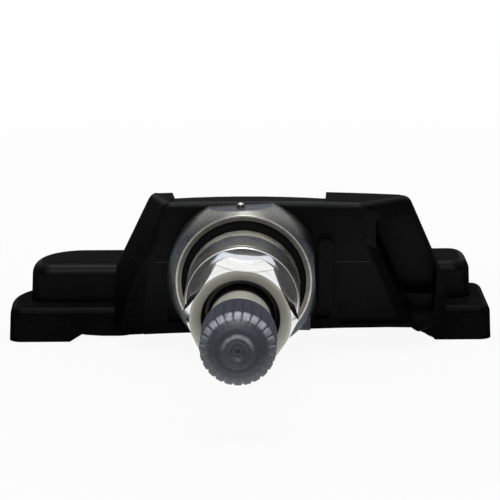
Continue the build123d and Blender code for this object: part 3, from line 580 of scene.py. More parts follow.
@dataclass(frozen=True)
class SealRubber(Finish):
    """Dull moulded rubber."""

    roughness: float = 0.75
    skin: float = 0.1
    grain: float = 1800.0
    grain_depth: float = 0.02 * MM

    def paint(self, graph: Graph) -> None:
        """Lay a fine grain over the two tones.

        Args:
            graph: Nodes of the material.
        """
        fine = graph.noise(graph.place, self.grain, 3.0, 0.6)
        graph.shade({
            "Base Color": graph.blend(graph.spread(fine, 0.35, 0.65), self.dark, self.light),
            "Roughness": graph.spread(fine, *MOSTLY, self.roughness - 0.06, self.roughness + 0.06),
            "Specular IOR Level": 0.0,
            "Coat Weight": self.skin,
            "Coat Roughness": self.roughness,
        })
        graph.bump(fine, self.grain_depth, 0.4)


@dataclass(frozen=True)
class LacqueredBoard(Finish):
    """Green solder lacquer over copper tracks, with the laminate's weave faint below."""

    pitch: float = 700.0
    track_depth: float = 0.03 * MM
    track_width: float = 0.05
    track_soft: float = 0.2

    def paint(self, graph: Graph) -> None:
        """Draw tracks as joints of a brick pattern.

        Args:
            graph: Nodes of the material.
        """
        feeds = {"Scale": self.pitch / 4, "Mortar Size": self.track_width, "Mortar Smooth": self.track_soft}
        tracks = graph.add("ShaderNodeTexBrick", {"Vector": graph.place, **feeds}).outputs["Fac"]
        weave = graph.noise(graph.place, self.pitch * 3)
        shade = graph.apply("ADD", tracks, graph.spread(weave, *MOSTLY, -0.15, 0.15))
        graph.shade({
            "Base Color": graph.blend(graph.spread(shade, 0.0, 1.0), self.dark, self.light),
            "Roughness": graph.spread(weave, *MOSTLY, 0.22, 0.34),
        })
        graph.bump(tracks, self.track_depth, 0.4)


@dataclass(frozen=True)
class WoundWire(Finish):
    """Lacquered wire laid in close turns across a bobbin."""

    pitch: float = 0.22 * MM

    def paint(self, graph: Graph) -> None:
        """Draw the turns as waves along X.

        Args:
            graph: Nodes of the material.
        """
        phase = graph.times(graph.x, TURN / self.pitch)
        turns = graph.spread(graph.apply("SINE", phase), -1.0, 1.0)
        graph.shade({
            "Base Color": graph.blend(turns, self.dark, self.light),
            "Roughness": graph.spread(turns, 0.0, 1.0, 0.45, 0.25),
            "Metallic": 0.8,
        })
        graph.bump(turns, self.pitch / 3, 0.8)


HOUSING_BLACK = MouldedPlastic("housing_black", (0.0006, 0.0006, 0.0007), (0.0042, 0.0042, 0.0045))
HOUSING_EDGE = MouldedPlastic("housing_edge", (0.005, 0.005, 0.0055), (0.009, 0.009, 0.0095))
COVER_BLACK = MouldedPlastic(
    "cover_black", (0.0018, 0.0018, 0.002), (0.004, 0.004, 0.0042), (0.008, 0.008, 0.009), 0.5
)
CAP_SLATE = WornAndHighlitCap(
    "cap_slate", (0.065, 0.07, 0.09), (0.1, 0.107, 0.133), (0.066, 0.071, 0.092),
    skin=1.0, grain=1500.0, grain_depth=0.012 * MM, swirl=0.22, dulled=0.06,
)
CUP_ZINC = ZincCup(
    "cup_zinc", (0.062, 0.069, 0.082), (0.125, 0.137, 0.157), 0.38, 5000.0, 0.006 * MM,
    edge_tint=(0.76, 0.8, 0.86),
)
# Steel with a dark, bluish band in the middle and a stained front.
SLEEVE_STEEL = TurnedMetal(
    "sleeve_steel", (0.56, 0.553, 0.49), (0.86, 0.85, 0.77), 0.3, 4000.0, 0.005 * MM,
    edge_tint=(0.5, 0.5, 0.5),
    bands=(Band((0.15, 0.158, 0.178), -3.5 * MM), Band((0.2, 0.197, 0.172), -7.9 * MM)),
)
NUT_NICKEL = PlatedNut("nut_nickel", (0.8, 0.8, 0.79), (0.93, 0.93, 0.92), 0.1, 6000.0, 0.002 * MM, 0.1)
# Pale metal, with painted shade: near black at the run-out inside the nut's bore.
STEM_METAL = TurnedMetal(
    "stem_metal", (0.56, 0.56, 0.5), (0.76, 0.757, 0.69), 0.42, 6000.0, 0.008 * MM, 0.2, metallic=0.55,
    bands=(Band((0.008, 0.008, 0.0075), -17.6 * MM, -20.9 * MM, 0.25 * MM, streaked=1.0),),
)
SEAL_BLACK = SealRubber("seal_black", (0.002, 0.002, 0.002), (0.0045, 0.0045, 0.0045))
GASKET_RED = SealRubber("gasket_red", (0.3, 0.03, 0.025), (0.42, 0.05, 0.04), 0.6)
BRASS = TurnedMetal("core_brass", (0.45, 0.3, 0.1), (0.75, 0.55, 0.24), 0.25)
SCREW_STEEL = TurnedMetal("screw_steel", (0.3, 0.3, 0.3), (0.5, 0.5, 0.49), 0.3)
CELL_STEEL = TurnedMetal(
    "cell_steel", (0.5, 0.5, 0.49), (0.7, 0.7, 0.68), 0.25, 9000.0, 0.004 * MM, 0.1, Around.FREE
)
TIN_STRIP = TurnedMetal(
    "tin_strip", (0.5, 0.48, 0.42), (0.68, 0.66, 0.6), 0.3, 9000.0, 0.004 * MM, 0.15, Around.FREE
)
BOARD_GREEN = LacqueredBoard("board_green", (0.01, 0.085, 0.035), (0.03, 0.17, 0.06))
CHIP_BLACK = MouldedPlastic("chip_black", (0.015, 0.015, 0.016), (0.03, 0.03, 0.031), (0.03, 0.03, 0.03), 0.5)
COIL_COPPER = WoundWire("coil_copper", (0.16, 0.05, 0.015), (0.5, 0.2, 0.07))


class Workshop:
    """Keeps the finishes that are made and hands finished pieces to the frame."""

    def __init__(self) -> None:
        """Start with no finish made."""
        self.made: dict[str, bpy.types.Material] = {}

    def material(self, finish: Finish) -> bpy.types.Material:
        """Give the material of a finish, made once.

        Args:
            finish: The finish.

        Returns:
            Its material.
        """
        if finish.name not in self.made:
            self.made[finish.name] = finish.material()
        return self.made[finish.name]

    def paint(self, mesh: Mesh, finish: Finish) -> None:
        """Leave a mesh with one finish."""
        mesh.materials.clear()
        mesh.materials.append(self.material(finish))

    def piece(self, mesh: Mesh, finish: Finish, body: Body, slot: str) -> bpy.types.Object:
        """Make a piece from a finished mesh and let it ride on a body.

        Args:
            mesh: The mesh, in its place.
            finish: Finish to give it.
            body: Body that it moves with.
            slot: Material slot of the record; not used.

        Returns:
            The new piece.
        """
        self.paint(mesh, finish)
        for face in mesh.polygons:
            face.material_index = 0
        mesh.shade_smooth()
        mesh.set_sharp_from_angle(angle=SHARP_ANGLE)
        piece = bpy.data.objects.new(mesh.name, mesh)
        bpy.context.scene.collection.objects.link(piece)
        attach(piece, body.value)
        LOG.info("made %s with %d faces", mesh.name, len(mesh.polygons))
        return piece


def stand(shape: bmesh.types.BMesh, section: list[Marked], angle: float, layer: object = None) -> list:
    """Stand the points of a section at an angle round the valve axis.

    Args:
        shape: Mesh under work.
        section: Points of (radius, y, mark), lengths in millimetres.
        angle: Radians from straight up towards the right.
        layer: Layer of the mesh that keeps the marks, if any.

    Returns:
        The new points.
    """
    points = []
    for radius, station, mark in section:
        reach = radius * MM
        point = shape.verts.new((reach * math.sin(angle), station * MM, reach * math.cos(angle)))
        if layer is not None:
            point[layer] = mark
        points.append(point)
    return points


def skin(shape: bmesh.types.BMesh, rows: list[list], ring: bool = True, closed: bool = True) -> None:
    """Lay faces between rows of points.

    Args:
        shape: Mesh under work.
        rows: Rows with the same number of points.
        ring: Whether the last row joins the first.
        closed: Whether the last point of a row joins its first.
    """
    for row, following in zip(rows, rows[1:] + rows[: int(ring)]):
        for index in range(len(row) - int(not closed)):
            after = (index + 1) % len(row)
            shape.faces.new((row[index], following[index], following[after], row[after]))


def ended(shape: bmesh.types.BMesh, name: str, weld: bool = False, outward: bool = True) -> Mesh:
    """Make a plain mesh of a mesh under work.

    Args:
        shape: Mesh under work, which is freed.
        name: Name of the result.
        weld: Whether points in one place become one.
        outward: Whether the faces are turned outwards.

    Returns:
        The plain mesh.
    """
    if weld:
        bmesh.ops.remove_doubles(shape, verts=shape.verts, dist=SAME_PLACE)
    if outward:
        bmesh.ops.recalc_face_normals(shape, faces=shape.faces)
    mesh = bpy.data.meshes.new(name)
    shape.to_mesh(mesh)
    shape.free()
    return mesh


def turned(name: str, outline: list[Point], segments: int) -> Mesh:
    """Turn a closed outline about the valve axis.

    Args:
        name: Name of the mesh.
        outline: Points of (radius, y) in millimetres, going round the section once.
        segments: Flats of a full turn.

    Returns:
        The closed mesh.
    """
    shape = bmesh.new()
    section = [(radius, station, 0.0) for radius, station in outline]
    skin(shape, [stand(shape, section, TURN / 4 - TURN * step / segments) for step in range(segments)])
    return ended(shape, name)


def joined(name: str, meshes: list[Mesh], weld: bool = False, outward: bool = False) -> Mesh:
    """Put meshes in one.

    Args:
        name: Name of the result.
        meshes: Meshes to take in.
        weld: Whether points in one place become one.
        outward: Whether the faces are turned outwards.

    Returns:
        The new mesh.
    """
    shape = bmesh.new()
    for mesh in meshes:
        shape.from_mesh(mesh)
    return ended(shape, name, weld, outward)


class Pattern(Nodes):
    """A tree of geometry nodes with named sizes."""

    def __init__(self, name: str) -> None:
        """Start an empty tree.

        Args:
            name: Name of the tree.
        """
        super().__init__(bpy.data.node_groups.new(name, "GeometryNodeTree"))
        self.tree.interface.new_socket("Geometry", in_out="OUTPUT", socket_type="NodeSocketGeometry")
        self.inlet = self.add("NodeGroupInput")
        self.keys: dict[str, str] = {}

    def size(self, name: str, kind: str = "Float") -> Socket:
        """Add a named input.

        Args:
            name: Name of the size.
            kind: Blender's socket type without its prefix.

        Returns:
            The socket that gives the size inside the tree.
        """
        entry = self.tree.interface.new_socket(name, in_out="INPUT", socket_type=f"NodeSocket{kind}")
        self.keys[name] = entry.identifier
        return self.inlet.outputs[name]

    def sweep(self, path: Socket, sides: int | Socket, radius: Socket) -> Socket:
        """Sweep a round section along a path, with its ends filled.

        Args:
            path: Socket of the curve.
            sides: Sides of the section.
            radius: Radius of the section.

        Returns:
            Socket of the swept mesh.
        """
        ring = self.add("GeometryNodeCurvePrimitiveCircle", {"Resolution": sides, "Radius": radius})
        feeds = {"Curve": path, "Profile Curve": ring.outputs[0], "Fill Caps": True}
        return self.add("GeometryNodeCurveToMesh", feeds).outputs[0]

    def close(self, geometry: Socket) -> None:
        """End the tree with real meshes in one material.

        Args:
            geometry: Socket of the pattern's geometry.
        """
        real = self.add("GeometryNodeRealizeInstances", {"Geometry": geometry})
        feeds = {"Geometry": real.outputs[0], "Material": self.size("Finish", "Material")}
        self.add("NodeGroupOutput", {0: self.add("GeometryNodeSetMaterial", feeds).outputs[0]})

    def mesh(self, name: str, start: Mesh, sizes: dict[str, object]) -> Mesh:
        """Run the tree on a mesh.

        Args:
            name: Name of the result.
            start: Mesh that the tree starts from.
            sizes: Values of the named inputs.

        Returns:
            The plain mesh that comes out.
        """
        holder = bpy.data.objects.new(f"{name}_start", start)
        bpy.context.scene.collection.objects.link(holder)
        modifier = holder.modifiers.new(name, "NODES")
        modifier.node_group = self.tree
        for key, value in sizes.items():
            modifier[self.keys[key]] = value
        graph = bpy.context.evaluated_depsgraph_get()
        made = bpy.data.meshes.new_from_object(holder.evaluated_get(graph), depsgraph=graph)
        holder.modifiers.remove(modifier)
        bpy.data.objects.remove(holder)
        made.name = name
        return made


@dataclass(frozen=True)
class Thread:
    """A screw thread from a station nearer to the wheel to one further out."""

    name: str
    crest: float
    half_depth: float
    pitch: float
    start: float
    end: float


class ThreadCutter(Pattern):
    """Tree that winds a thread as a sharp ridge."""

    def __init__(self, steps: int = 48) -> None:
        """Build the tree.

        Args:
            steps: Points of one turn.
        """
        super().__init__("thread_ridge")
        turns, middle = self.size("Turns"), self.size("Middle Radius")
        length, half = self.size("Length"), self.size("Half Depth")
        lift = self.add("ShaderNodeCombineXYZ", {"Y": self.size("Start")})
        feeds = {"Start Radius": middle, "End Radius": middle, "Rotations": turns, "Height": length}
        helix = self.add("GeometryNodeCurveSpiral", {"Resolution": steps, **feeds})
        level = self.add("GeometryNodeSetCurveNormal", {"Curve": helix.outputs[0]}, mode="Z_UP")
        ridge = self.sweep(level.outputs[0], 4, half)
        along_valve = (math.radians(90.0), 0.0, 0.0)
        feeds = {"Geometry": ridge, "Translation": lift.outputs[0], "Rotation": along_valve}
        self.close(self.add("GeometryNodeTransform", feeds).outputs[0])

    def ridge(self, thread: Thread, material: bpy.types.Material) -> Mesh:
        """Wind one thread.

        Args:
            thread: Its sizes.
            material: Material of the ridge.

        Returns:
            The ridge's mesh.
        """
        length = thread.start - thread.end
        sizes = {
            "Turns": length / thread.pitch,
            "Middle Radius": (thread.crest - thread.half_depth) * MM,
            "Length": length * MM,
            "Half Depth": thread.half_depth * MM,
            "Start": thread.start * MM,
            "Finish": material,
        }
        return self.mesh(thread.name, bpy.data.meshes.new(f"{thread.name}_seed"), sizes)


@dataclass
class ValveStem:
    """Turned stem with its clamp thread, bare neck and cap thread."""

    tail: float = 10.0
    tail_radius: float = 4.0
    flange_back: float = 6.0
    flange_front: float = 4.6
    flange_radius: float = 6.6
    thread_core: float = 4.6
    run_out: float = -20.4
    run_out_length: float = 0.5
    neck_start: float = -21.6
    neck_slope: float = 0.4
    neck_radius: float = 4.1
    neck_end: float = -28.2
    cap_core: float = 3.5
    cap_slope: float = 0.3
    end: float = -34.7
    edge: float = 0.15
    core_bore: float = 2.65
    core_bore_end: float = -26.5
    air_bore: float = 1.9
    air_bore_end: float = -25.1
    screw_bore: float = 2.5
    screw_bore_end: float = 2.2
    segments: int = 96
    threads: tuple[Thread, ...] = (
        Thread("clamp_thread", crest=5.0, half_depth=0.42, pitch=1.0, start=2.4, end=-17.8),
        Thread("cap_thread", crest=3.85, half_depth=0.34, pitch=0.794, start=-28.9, end=-34.2),
    )

    def outline(self) -> list[Point]:
        """Section of the stem.

        Returns:
            Points of the outside from the tail to the end, then back through the bores.
        """
        edge = self.edge
        return [
            (self.tail_radius - edge, self.tail),
            (self.tail_radius, self.tail - edge),
            (self.tail_radius, self.flange_back),
            (self.flange_radius - edge, self.flange_back),
            (self.flange_radius, self.flange_back - edge),
            (self.flange_radius, self.flange_front + edge),
            (self.flange_radius - edge, self.flange_front),
            (self.thread_core, self.flange_front),
            (self.thread_core, self.run_out + self.run_out_length),
            (self.thread_core - edge, self.run_out),
            (self.neck_radius + edge, self.neck_start + self.neck_slope),
            (self.neck_radius, self.neck_start),
            (self.neck_radius, self.neck_end + edge),
            (self.neck_radius - edge, self.neck_end),
            (self.cap_core, self.neck_end - self.cap_slope),
            (self.cap_core, self.end + 2 * edge),
            (self.cap_core - 2 * edge, self.end),
            (self.core_bore + edge, self.end),
            (self.core_bore, self.end + edge),
            (self.core_bore, self.core_bore_end),
            (self.air_bore, self.air_bore_end),
            (self.air_bore, self.screw_bore_end),
            (self.screw_bore, self.screw_bore_end),
            (self.screw_bore, self.tail - edge),
            (self.screw_bore + edge, self.tail),
        ]

    def build(self, shop: Workshop) -> None:
        """Turn the stem, wind its threads and put it in the place of its node.

        Args:
            shop: Gives the finish and takes the piece.
        """
        cutter = ThreadCutter()
        ridges = [cutter.ridge(thread, shop.material(STEM_METAL)) for thread in self.threads]
        body = turned("stem_body", self.outline(), self.segments)
        piece = shop.piece(joined("threaded_stem", [body, *ridges]), STEM_METAL, Body.SENSOR, "valve_stem")
        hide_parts("valve_stem")


@dataclass
class ClampSleeve:
    """Turned sleeve with a shallow groove and the waves that the tool left."""

    radius: float = 8.25
    back: float = -0.05
    front: float = -9.87
    chamfer: float = 0.12
    recess_radius: float = 6.05
    recess_end: float = -3.0
    bore: float = 5.15
    groove_at: float = -2.6
    groove_width: float = 0.5
    groove_depth: float = 0.03
    wave: float = 0.004
    wave_step: float = 0.16
    edge: float = 0.05
    segments: int = 144

    def outside(self) -> list[Point]:
        """Outside of the sleeve, with the groove cut in.

        Returns:
            Points from the back chamfer to the front one.
        """
        points = []
        station = self.back - self.chamfer
        while station > self.front + self.chamfer:
            in_groove = self.groove_at - self.groove_width < station < self.groove_at
            depth = self.groove_depth if in_groove else self.wave * (len(points) % 2)
            points.append((self.radius - depth, station))
            station -= self.wave_step
        return [*points, (self.radius, self.front + self.chamfer)]

    def build(self, shop: Workshop) -> None:
        """Turn the sleeve and put it in the place of its node.

        Args:
            shop: Gives the finish and takes the piece.
        """
        rim = self.radius - self.chamfer
        outline = [
            (self.recess_radius + self.edge, self.back),
            (rim, self.back),
            *self.outside(),
            (rim, self.front),
            (self.bore + self.edge, self.front),
            (self.bore, self.front + self.edge),
            (self.bore, self.recess_end),
            (self.recess_radius, self.recess_end),
            (self.recess_radius, self.back - self.edge),
        ]
        sleeve = turned("turned_sleeve", outline, self.segments)
        piece = shop.piece(sleeve, SLEEVE_STEEL, Body.SLEEVE, "clamp_sleeve")
        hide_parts("clamp_sleeve")


@dataclass
class HexNut:
    """Hexagon nut whose columns run over washer, chamfers and flat, and back through the bore."""

    flat: float = 7.0
    turn: float = 4.5
    chamfer_radius: float = 7.1
    corner_radius: float = 8.083
    back: float = -9.9
    hexagon: float = -10.55
    corner_back: float = -16.75
    corner_front: float = -17.7
    front: float = -20.5
    washer_radius: float = 8.05
    lean: float = 0.08
    rim_round: tuple[Point, ...] = (
        (0.0, 0.15), (0.015, 0.08), (0.055, 0.03), (0.1, 0.008), (0.14, 0.0), (0.2, -0.006)
    )
    sink_radius: float = 6.75
    sink_depth: float = 0.9
    bore: float = 5.5
    thread_end: float = -15.4
    thread_radius: float = 5.05
    columns: int = 240
    soft: float = 0.17
    edge: float = 0.08
    back_seam: float = 0.5
    seam_growth: float = 8.0

    def reach(self, angle: float) -> float:
        """Distance in millimetres from the axis to the hexagon at an angle in degrees."""
        within = (angle - self.turn + 30.0) % 60.0 - 30.0
        return min(self.flat / math.cos(math.radians(within)), self.corner_radius)

    def column(self, angle: float) -> list[Marked]:
        """Section of the nut at one angle.

        Args:
            angle: Degrees from straight up towards the right.

        Returns:
            Points of (radius, y, share of a seam), once round the section.
        """
        reach = self.reach(angle)
        start = min(reach, self.chamfer_radius)
        share = (reach - start) / (self.corner_radius - self.chamfer_radius)
        soft, edge, rim = self.soft, self.edge, self.washer_radius
        face = self.hexagon + self.lean
        meets_back = min(self.hexagon + (self.corner_back - self.hexagon) * share, self.hexagon - 2 * soft)
        meets_front = max(self.front + (self.corner_front - self.front) * share, self.front + 2 * soft)
        slope_back = (reach - start) / (self.hexagon - meets_back)
        slope_front = (reach - start) / (meets_front - self.front)
        return [
            (self.thread_radius + edge, self.back, 0.0),
            (rim - edge, self.back, 0.0),
            (rim, self.back - edge, 0.0),
            *((rim - inward, face + rise, 0.0) for inward, rise in self.rim_round),
            (start, self.hexagon, 0.0),
            (reach - slope_back * soft, meets_back + soft, 0.0),
            (reach, meets_back, self.back_seam * min(1.0, self.seam_growth * share)),
            (reach, meets_back - soft, 0.0),
            (reach, (meets_back + meets_front) / 2, 0.0),
            (reach, meets_front + soft, 0.0),
            (reach, meets_front, 1.0),
            (reach - slope_front * soft, meets_front - soft, 0.0),
            (start, self.front, 0.0),
            (self.sink_radius, self.front, 0.0),
            (self.bore, self.front + self.sink_depth, 0.0),
            (self.bore, self.thread_end, 0.0),
            (self.thread_radius, self.thread_end, 0.0),
            (self.thread_radius, self.back - edge, 0.0),
        ]

    def build(self, shop: Workshop) -> None:
        """Make the nut, its seams stored on its points, and put it in the place of its node.

        Args:
            shop: Gives the finish and takes the piece.
        """
        shape = bmesh.new()
        seam = shape.verts.layers.float.new(SEAM)
        angles = [360.0 * step / self.columns for step in range(self.columns)]
        skin(shape, [stand(shape, self.column(angle), math.radians(angle), seam) for angle in angles])
        piece = shop.piece(ended(shape, "plated_nut"), NUT_NICKEL, Body.NUT, "hex_nut")
        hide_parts("hex_nut")


@dataclass
class ValveCap:
    """Plastic cap: one land of its grip, repeated round the axis."""

    lands: int = 24
    radius: float = 5.18
    bore: float = 3.9
    back: float = -28.4
    front: float = -37.05
    inside: float = -35.75
    collar: float = 0.9
    groove_run: tuple[Point, ...] = ((0.0, 0.0), (0.4, 0.5), (0.9, 1.0))
    shoulder: float = 1.6
    shoulder_drop: float = 0.05
    dome: tuple[Marked, ...] = (
        (5.0, 1.42, 1.0), (4.78, 1.17, 0.95), (4.55, 0.94, 0.8), (4.3, 0.73, 0.5), (4.0, 0.52, 0.15),
        (3.65, 0.34, 0.0), (3.3, 0.21, 0.0), (2.95, 0.12, 0.0), (2.66, 0.07, 0.0), (2.56, 0.08, 0.0),
        (2.46, 0.12, 0.0), (2.3, 0.11, 0.0), (1.9, 0.05, 0.0), (1.6, 0.0, 0.0), (1.44, 0.02, 0.0),
        (1.3, 0.12, 0.0), (1.18, 0.3, 0.0), (1.05, 0.38, 0.0), (0.75, 0.4, 0.0),
        (0.35, 0.4, 0.0), (0.27, 0.65, 0.0), (0.0, 0.65, 0.0),
    )
    groove: float = 0.22
    groove_share: float = 0.2
    half_land: tuple[float, ...] = (0.0, 0.05, 0.1, 0.16, 0.23, 0.3, 0.4)
    edge: float = 0.14
    weld: float = 2e-6

    def outline(self) -> list[Marked]:
        """Section of the cap.

        Returns:
            Points of (radius, y, share of the groove's depth), from the bore round to the face.
        """
        radius, back, front, edge = self.radius, self.back, self.front, self.edge
        return [
            (0.0, self.inside, 0.0),
            (self.bore, self.inside, 0.0),
            (self.bore, back - edge, 0.0),
            (self.bore + edge, back, 0.0),
            (radius - 2 * edge, back, 0.0),
            (radius - edge / 2, back - edge / 2, 0.0),
            (radius, back - edge, 0.0),
            *((radius, back - self.collar - past, share) for past, share in self.groove_run),
            (radius, front + self.shoulder + edge, 1.0),
            (radius - self.shoulder_drop, front + self.shoulder, 1.0),
            *((reach, front + depth, share) for reach, depth, share in self.dome),
        ]

    def groove_at(self, across: float) -> float:
        """Share of the groove's depth across one land, from 0 to 1 between two grooves' bottoms."""
        away = min(across, 1 - across) / self.groove_share
        return 0.0 if away >= 1 else 0.5 + 0.5 * math.cos(math.pi * away)

    def land(self) -> Mesh:
        """Mesh of one land with half a groove at each side.

        Returns:
            The open mesh.
        """
        shape = bmesh.new()
        layer = shape.verts.layers.float.new(LAND)
        rows = []
        for across in (*self.half_land, 0.5, *(1 - place for place in reversed(self.half_land))):
            depth = self.groove_at(across)
            section = [(r - self.groove * depth * share, y, 1 - depth) for r, y, share in self.outline()]
            rows.append(stand(shape, section, TURN * (across - 0.5) / self.lands, layer))
        skin(shape, rows, ring=False, closed=False)
        return ended(shape, "cap_land", weld=True, outward=False)

    def pattern(self) -> Pattern:
        """Tree that repeats a land round the valve axis and welds the seams.

        Returns:
            The tree.
        """
        tree = Pattern("grip_round")
        land, count, weld = tree.size("Land", "Geometry"), tree.size("Lands", "Int"), tree.size("Weld")
        line = tree.add("GeometryNodeMeshLine", {"Count": count, "Offset": (0.0, 0.0, 0.0)}, mode="OFFSET")
        share = tree.apply("DIVIDE", tree.add("GeometryNodeInputIndex").outputs[0], count)
        euler = tree.add("ShaderNodeCombineXYZ", {"Y": tree.times(share, TURN)})
        turn = tree.add("FunctionNodeEulerToRotation", {"Euler": euler.outputs[0]})
        feeds = {"Points": line.outputs[0], "Instance": land, "Rotation": turn.outputs[0]}
        copies = tree.add("GeometryNodeInstanceOnPoints", feeds)
        real = tree.add("GeometryNodeRealizeInstances", {"Geometry": copies.outputs[0]})
        feeds = {"Geometry": real.outputs[0], "Distance": weld}
        tree.close(tree.add("GeometryNodeMergeByDistance", feeds).outputs[0])
        return tree

    def build(self, shop: Workshop) -> None:
        """Make the cap and put it in the place of its node.

        Args:
            shop: Gives the finish and takes the piece.
        """
        sizes = {"Lands": self.lands, "Weld": self.weld, "Finish": shop.material(CAP_SLATE)}
        lands = self.pattern().mesh("cap_lands", self.land(), sizes)
        cap = joined("grip_cap", [lands], outward=True)
        piece = shop.piece(cap, CAP_SLATE, Body.CAP, "valve_cap")
        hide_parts("valve_cap")


@dataclass
class CoreSpring:
    """Spring of the valve core, which the pin presses shorter; here a plain copy of its node."""

    joint: str = "core_press"
    fixed_end: float = -30.2
    pressed_share: float = 0.62

    def build(self, shop: Workshop) -> None:
        """Copy the spring's node and give the copy a mesh of its own.

        Args:
            shop: Gives the finish and takes the piece.
        """
        mesh = joined("pressed_spring", [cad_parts["core_spring"].data], weld=True)
        piece = shop.piece(mesh, SCREW_STEEL, Body.SENSOR, "core_spring")
        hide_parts("core_spring")
        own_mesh(piece)


@dataclass(frozen=True)
class Lamp:
    """A soft lamp that looks at the part, or a card that only shows as a reflection."""

    name: str
    place: Place
    size: Point
    power: float
    colour: Colour = WHITE
    lights: bool = True

    def hang(self, target: Vector) -> None:
        """Hang the lamp.

        Args:
            target: Place that it looks at.
        """
        data = bpy.data.lights.new(self.name, "AREA")
        data.shape = "RECTANGLE"
        data.size, data.size_y = self.size
        data.energy = self.power
        data.color = self.colour
        lamp = bpy.data.objects.new(self.name, data)
        lamp.location = self.place
        lamp.rotation_mode = "QUATERNION"
        lamp.rotation_quaternion = (target - Vector(self.place)).to_track_quat("-Z", "Y")
        lamp.visible_diffuse = self.lights
        bpy.context.scene.collection.objects.link(lamp)


@dataclass
class Studio:
    """Pale floor, soft lamps and the camera of the photograph."""

    target: Vector = field(default_factory=lambda: Vector((0.8, 7.8, 3.51)) * MM)
    distance: float = 420.0 * MM
    elevation: float = 13.0
    azimuth: float = 1.1
    pixels_per_mm: float = 6.75
    picture: int = 500
    sensor: float = 36.0
    clip: Point = (0.01, 20.0)
    floor_z: float = -12.13 * MM
    floor_half: float = 3.0
    floor_colour: Colour = (0.9, 0.9, 0.9)
    floor_roughness: float = 0.9
    floor_glow: float = 0.93
    dim_near: float = -0.036
    dim_far: float = -0.06
    dim: float = 0.06
    fade_near: float = 0.05
    fade_far: float = 0.3
    even_light: float = 0.4
    sky_behind: tuple[float, ...] = (-0.05, 0.35, 0.1, 1.0)
    sky_over: tuple[float, ...] = (0.6, 0.95, 0.0, 0.75)
    lamps: tuple[Lamp, ...] = (
        Lamp("lamp_over", (0.0, -0.02, 0.44), (0.17, 0.17), 0.56),
        Lamp("card_high", (-0.02, -0.36, 0.37), (0.26, 0.16), 0.6, lights=False),
        Lamp("card_front", (-0.03, -0.6, 0.26), (0.7, 0.36), 0.72, (0.86, 0.92, 1.0), False),
    )

    def build(self) -> None:
        """Make the floor, the world, the lamps and the camera."""
        self.make_floor()
        self.make_world()
        for lamp in self.lamps:
            lamp.hang(self.target)
        self.make_camera()

    def away(self) -> Vector:
        """Direction from the target to the camera."""
        turn, tilt = math.radians(self.azimuth), math.radians(self.elevation)
        return Vector((math.sin(turn) * math.cos(tilt), -math.cos(turn) * math.cos(tilt), math.sin(tilt)))

    def sight(self, column: float, row: float) -> tuple[Vector, Vector]:
        """Line of sight of the camera through a place in the picture.

        Args:
            column: Pixels from the left.
            row: Pixels from the top.

        Returns:
            The camera's place and the direction.
        """
        back = self.away()
        right = Vector((0.0, 0.0, 1.0)).cross(back).normalized()
        up = back.cross(right)
        step = MM / self.pixels_per_mm
        half = self.picture / 2
        seen = self.target + right * ((column - half) * step) + up * ((half - row) * step)
        eye = self.target + back * self.distance
        return eye, (seen - eye).normalized()

    def make_floor(self) -> None:
        """Lay a pale floor that keeps a soft shadow, goes white further off and mirrors dim in front."""
        mesh = bpy.data.meshes.new("floor")
        half = self.floor_half
        corners = [(-half, -half), (half, -half), (half, half), (-half, half)]
        mesh.from_pydata([(x, y, self.floor_z) for x, y in corners], [], [(0, 1, 2, 3)])
        floor = bpy.data.objects.new("floor", mesh)
        bpy.context.scene.collection.objects.link(floor)
        material = bpy.data.materials.new("floor_white")
        graph = Graph(material)
        graph.shade({
            "Base Color": self.floor_colour,
            "Roughness": self.floor_roughness,
            "Specular IOR Level": 0.0,
        })
        off = graph.hypotenuse(graph.x, graph.y)
        share = graph.spread(off, self.fade_near, self.fade_far, self.floor_glow, 1.0)
        rays = graph.add("ShaderNodeLightPath").outputs
        mirrored = graph.apply("MAXIMUM", rays["Is Glossy Ray"], rays["Is Transmission Ray"])
        seen = graph.apply("MAXIMUM", rays["Is Camera Ray"], mirrored)
        dim = graph.times(graph.spread(graph.y, self.dim_far, self.dim_near, 1.0, 0.0), mirrored)
        tone = graph.spread(dim, 0.0, 1.0, 1.0, self.dim)
        white = graph.add("ShaderNodeEmission", {"Color": tone, "Strength": 1.0})
        glow = graph.apply("MAXIMUM", graph.times(seen, share), dim)
        feeds = {0: glow, 1: graph.shader.outputs[0], 2: white.outputs[0]}
        graph.feed(graph.output.inputs["Surface"], graph.add("ShaderNodeMixShader", feeds).outputs[0])
        mesh.materials.append(material)

    def make_world(self) -> None:
        """White backdrop behind and above, dim room in front, and an even light for dull surfaces."""
        world = bpy.data.worlds.new("studio")
        bpy.context.scene.world = world
        world.use_nodes = True
        nodes = Nodes(world.node_tree)
        place = nodes.add("ShaderNodeTexCoord").outputs["Generated"]
        heading = nodes.add("ShaderNodeSeparateXYZ", {0: place}).outputs
        rays = nodes.add("ShaderNodeLightPath").outputs
        behind = nodes.spread(heading["Y"], *self.sky_behind)
        over = nodes.spread(heading["Z"], *self.sky_over)
        backdrop = nodes.apply("MAXIMUM", behind, over, rays["Is Camera Ray"])
        shown = nodes.add("ShaderNodeBackground", {"Color": backdrop, "Strength": 1.0})
        light = nodes.add("ShaderNodeBackground", {"Color": WHITE, "Strength": self.even_light})
        seen = [rays[f"Is {kind} Ray"] for kind in ("Camera", "Glossy", "Transmission")]
        feeds = {0: nodes.apply("MAXIMUM", *seen), 1: light.outputs[0], 2: shown.outputs[0]}
        mix = nodes.add("ShaderNodeMixShader", feeds)
        nodes.add("ShaderNodeOutputWorld", {"Surface": mix.outputs[0]})

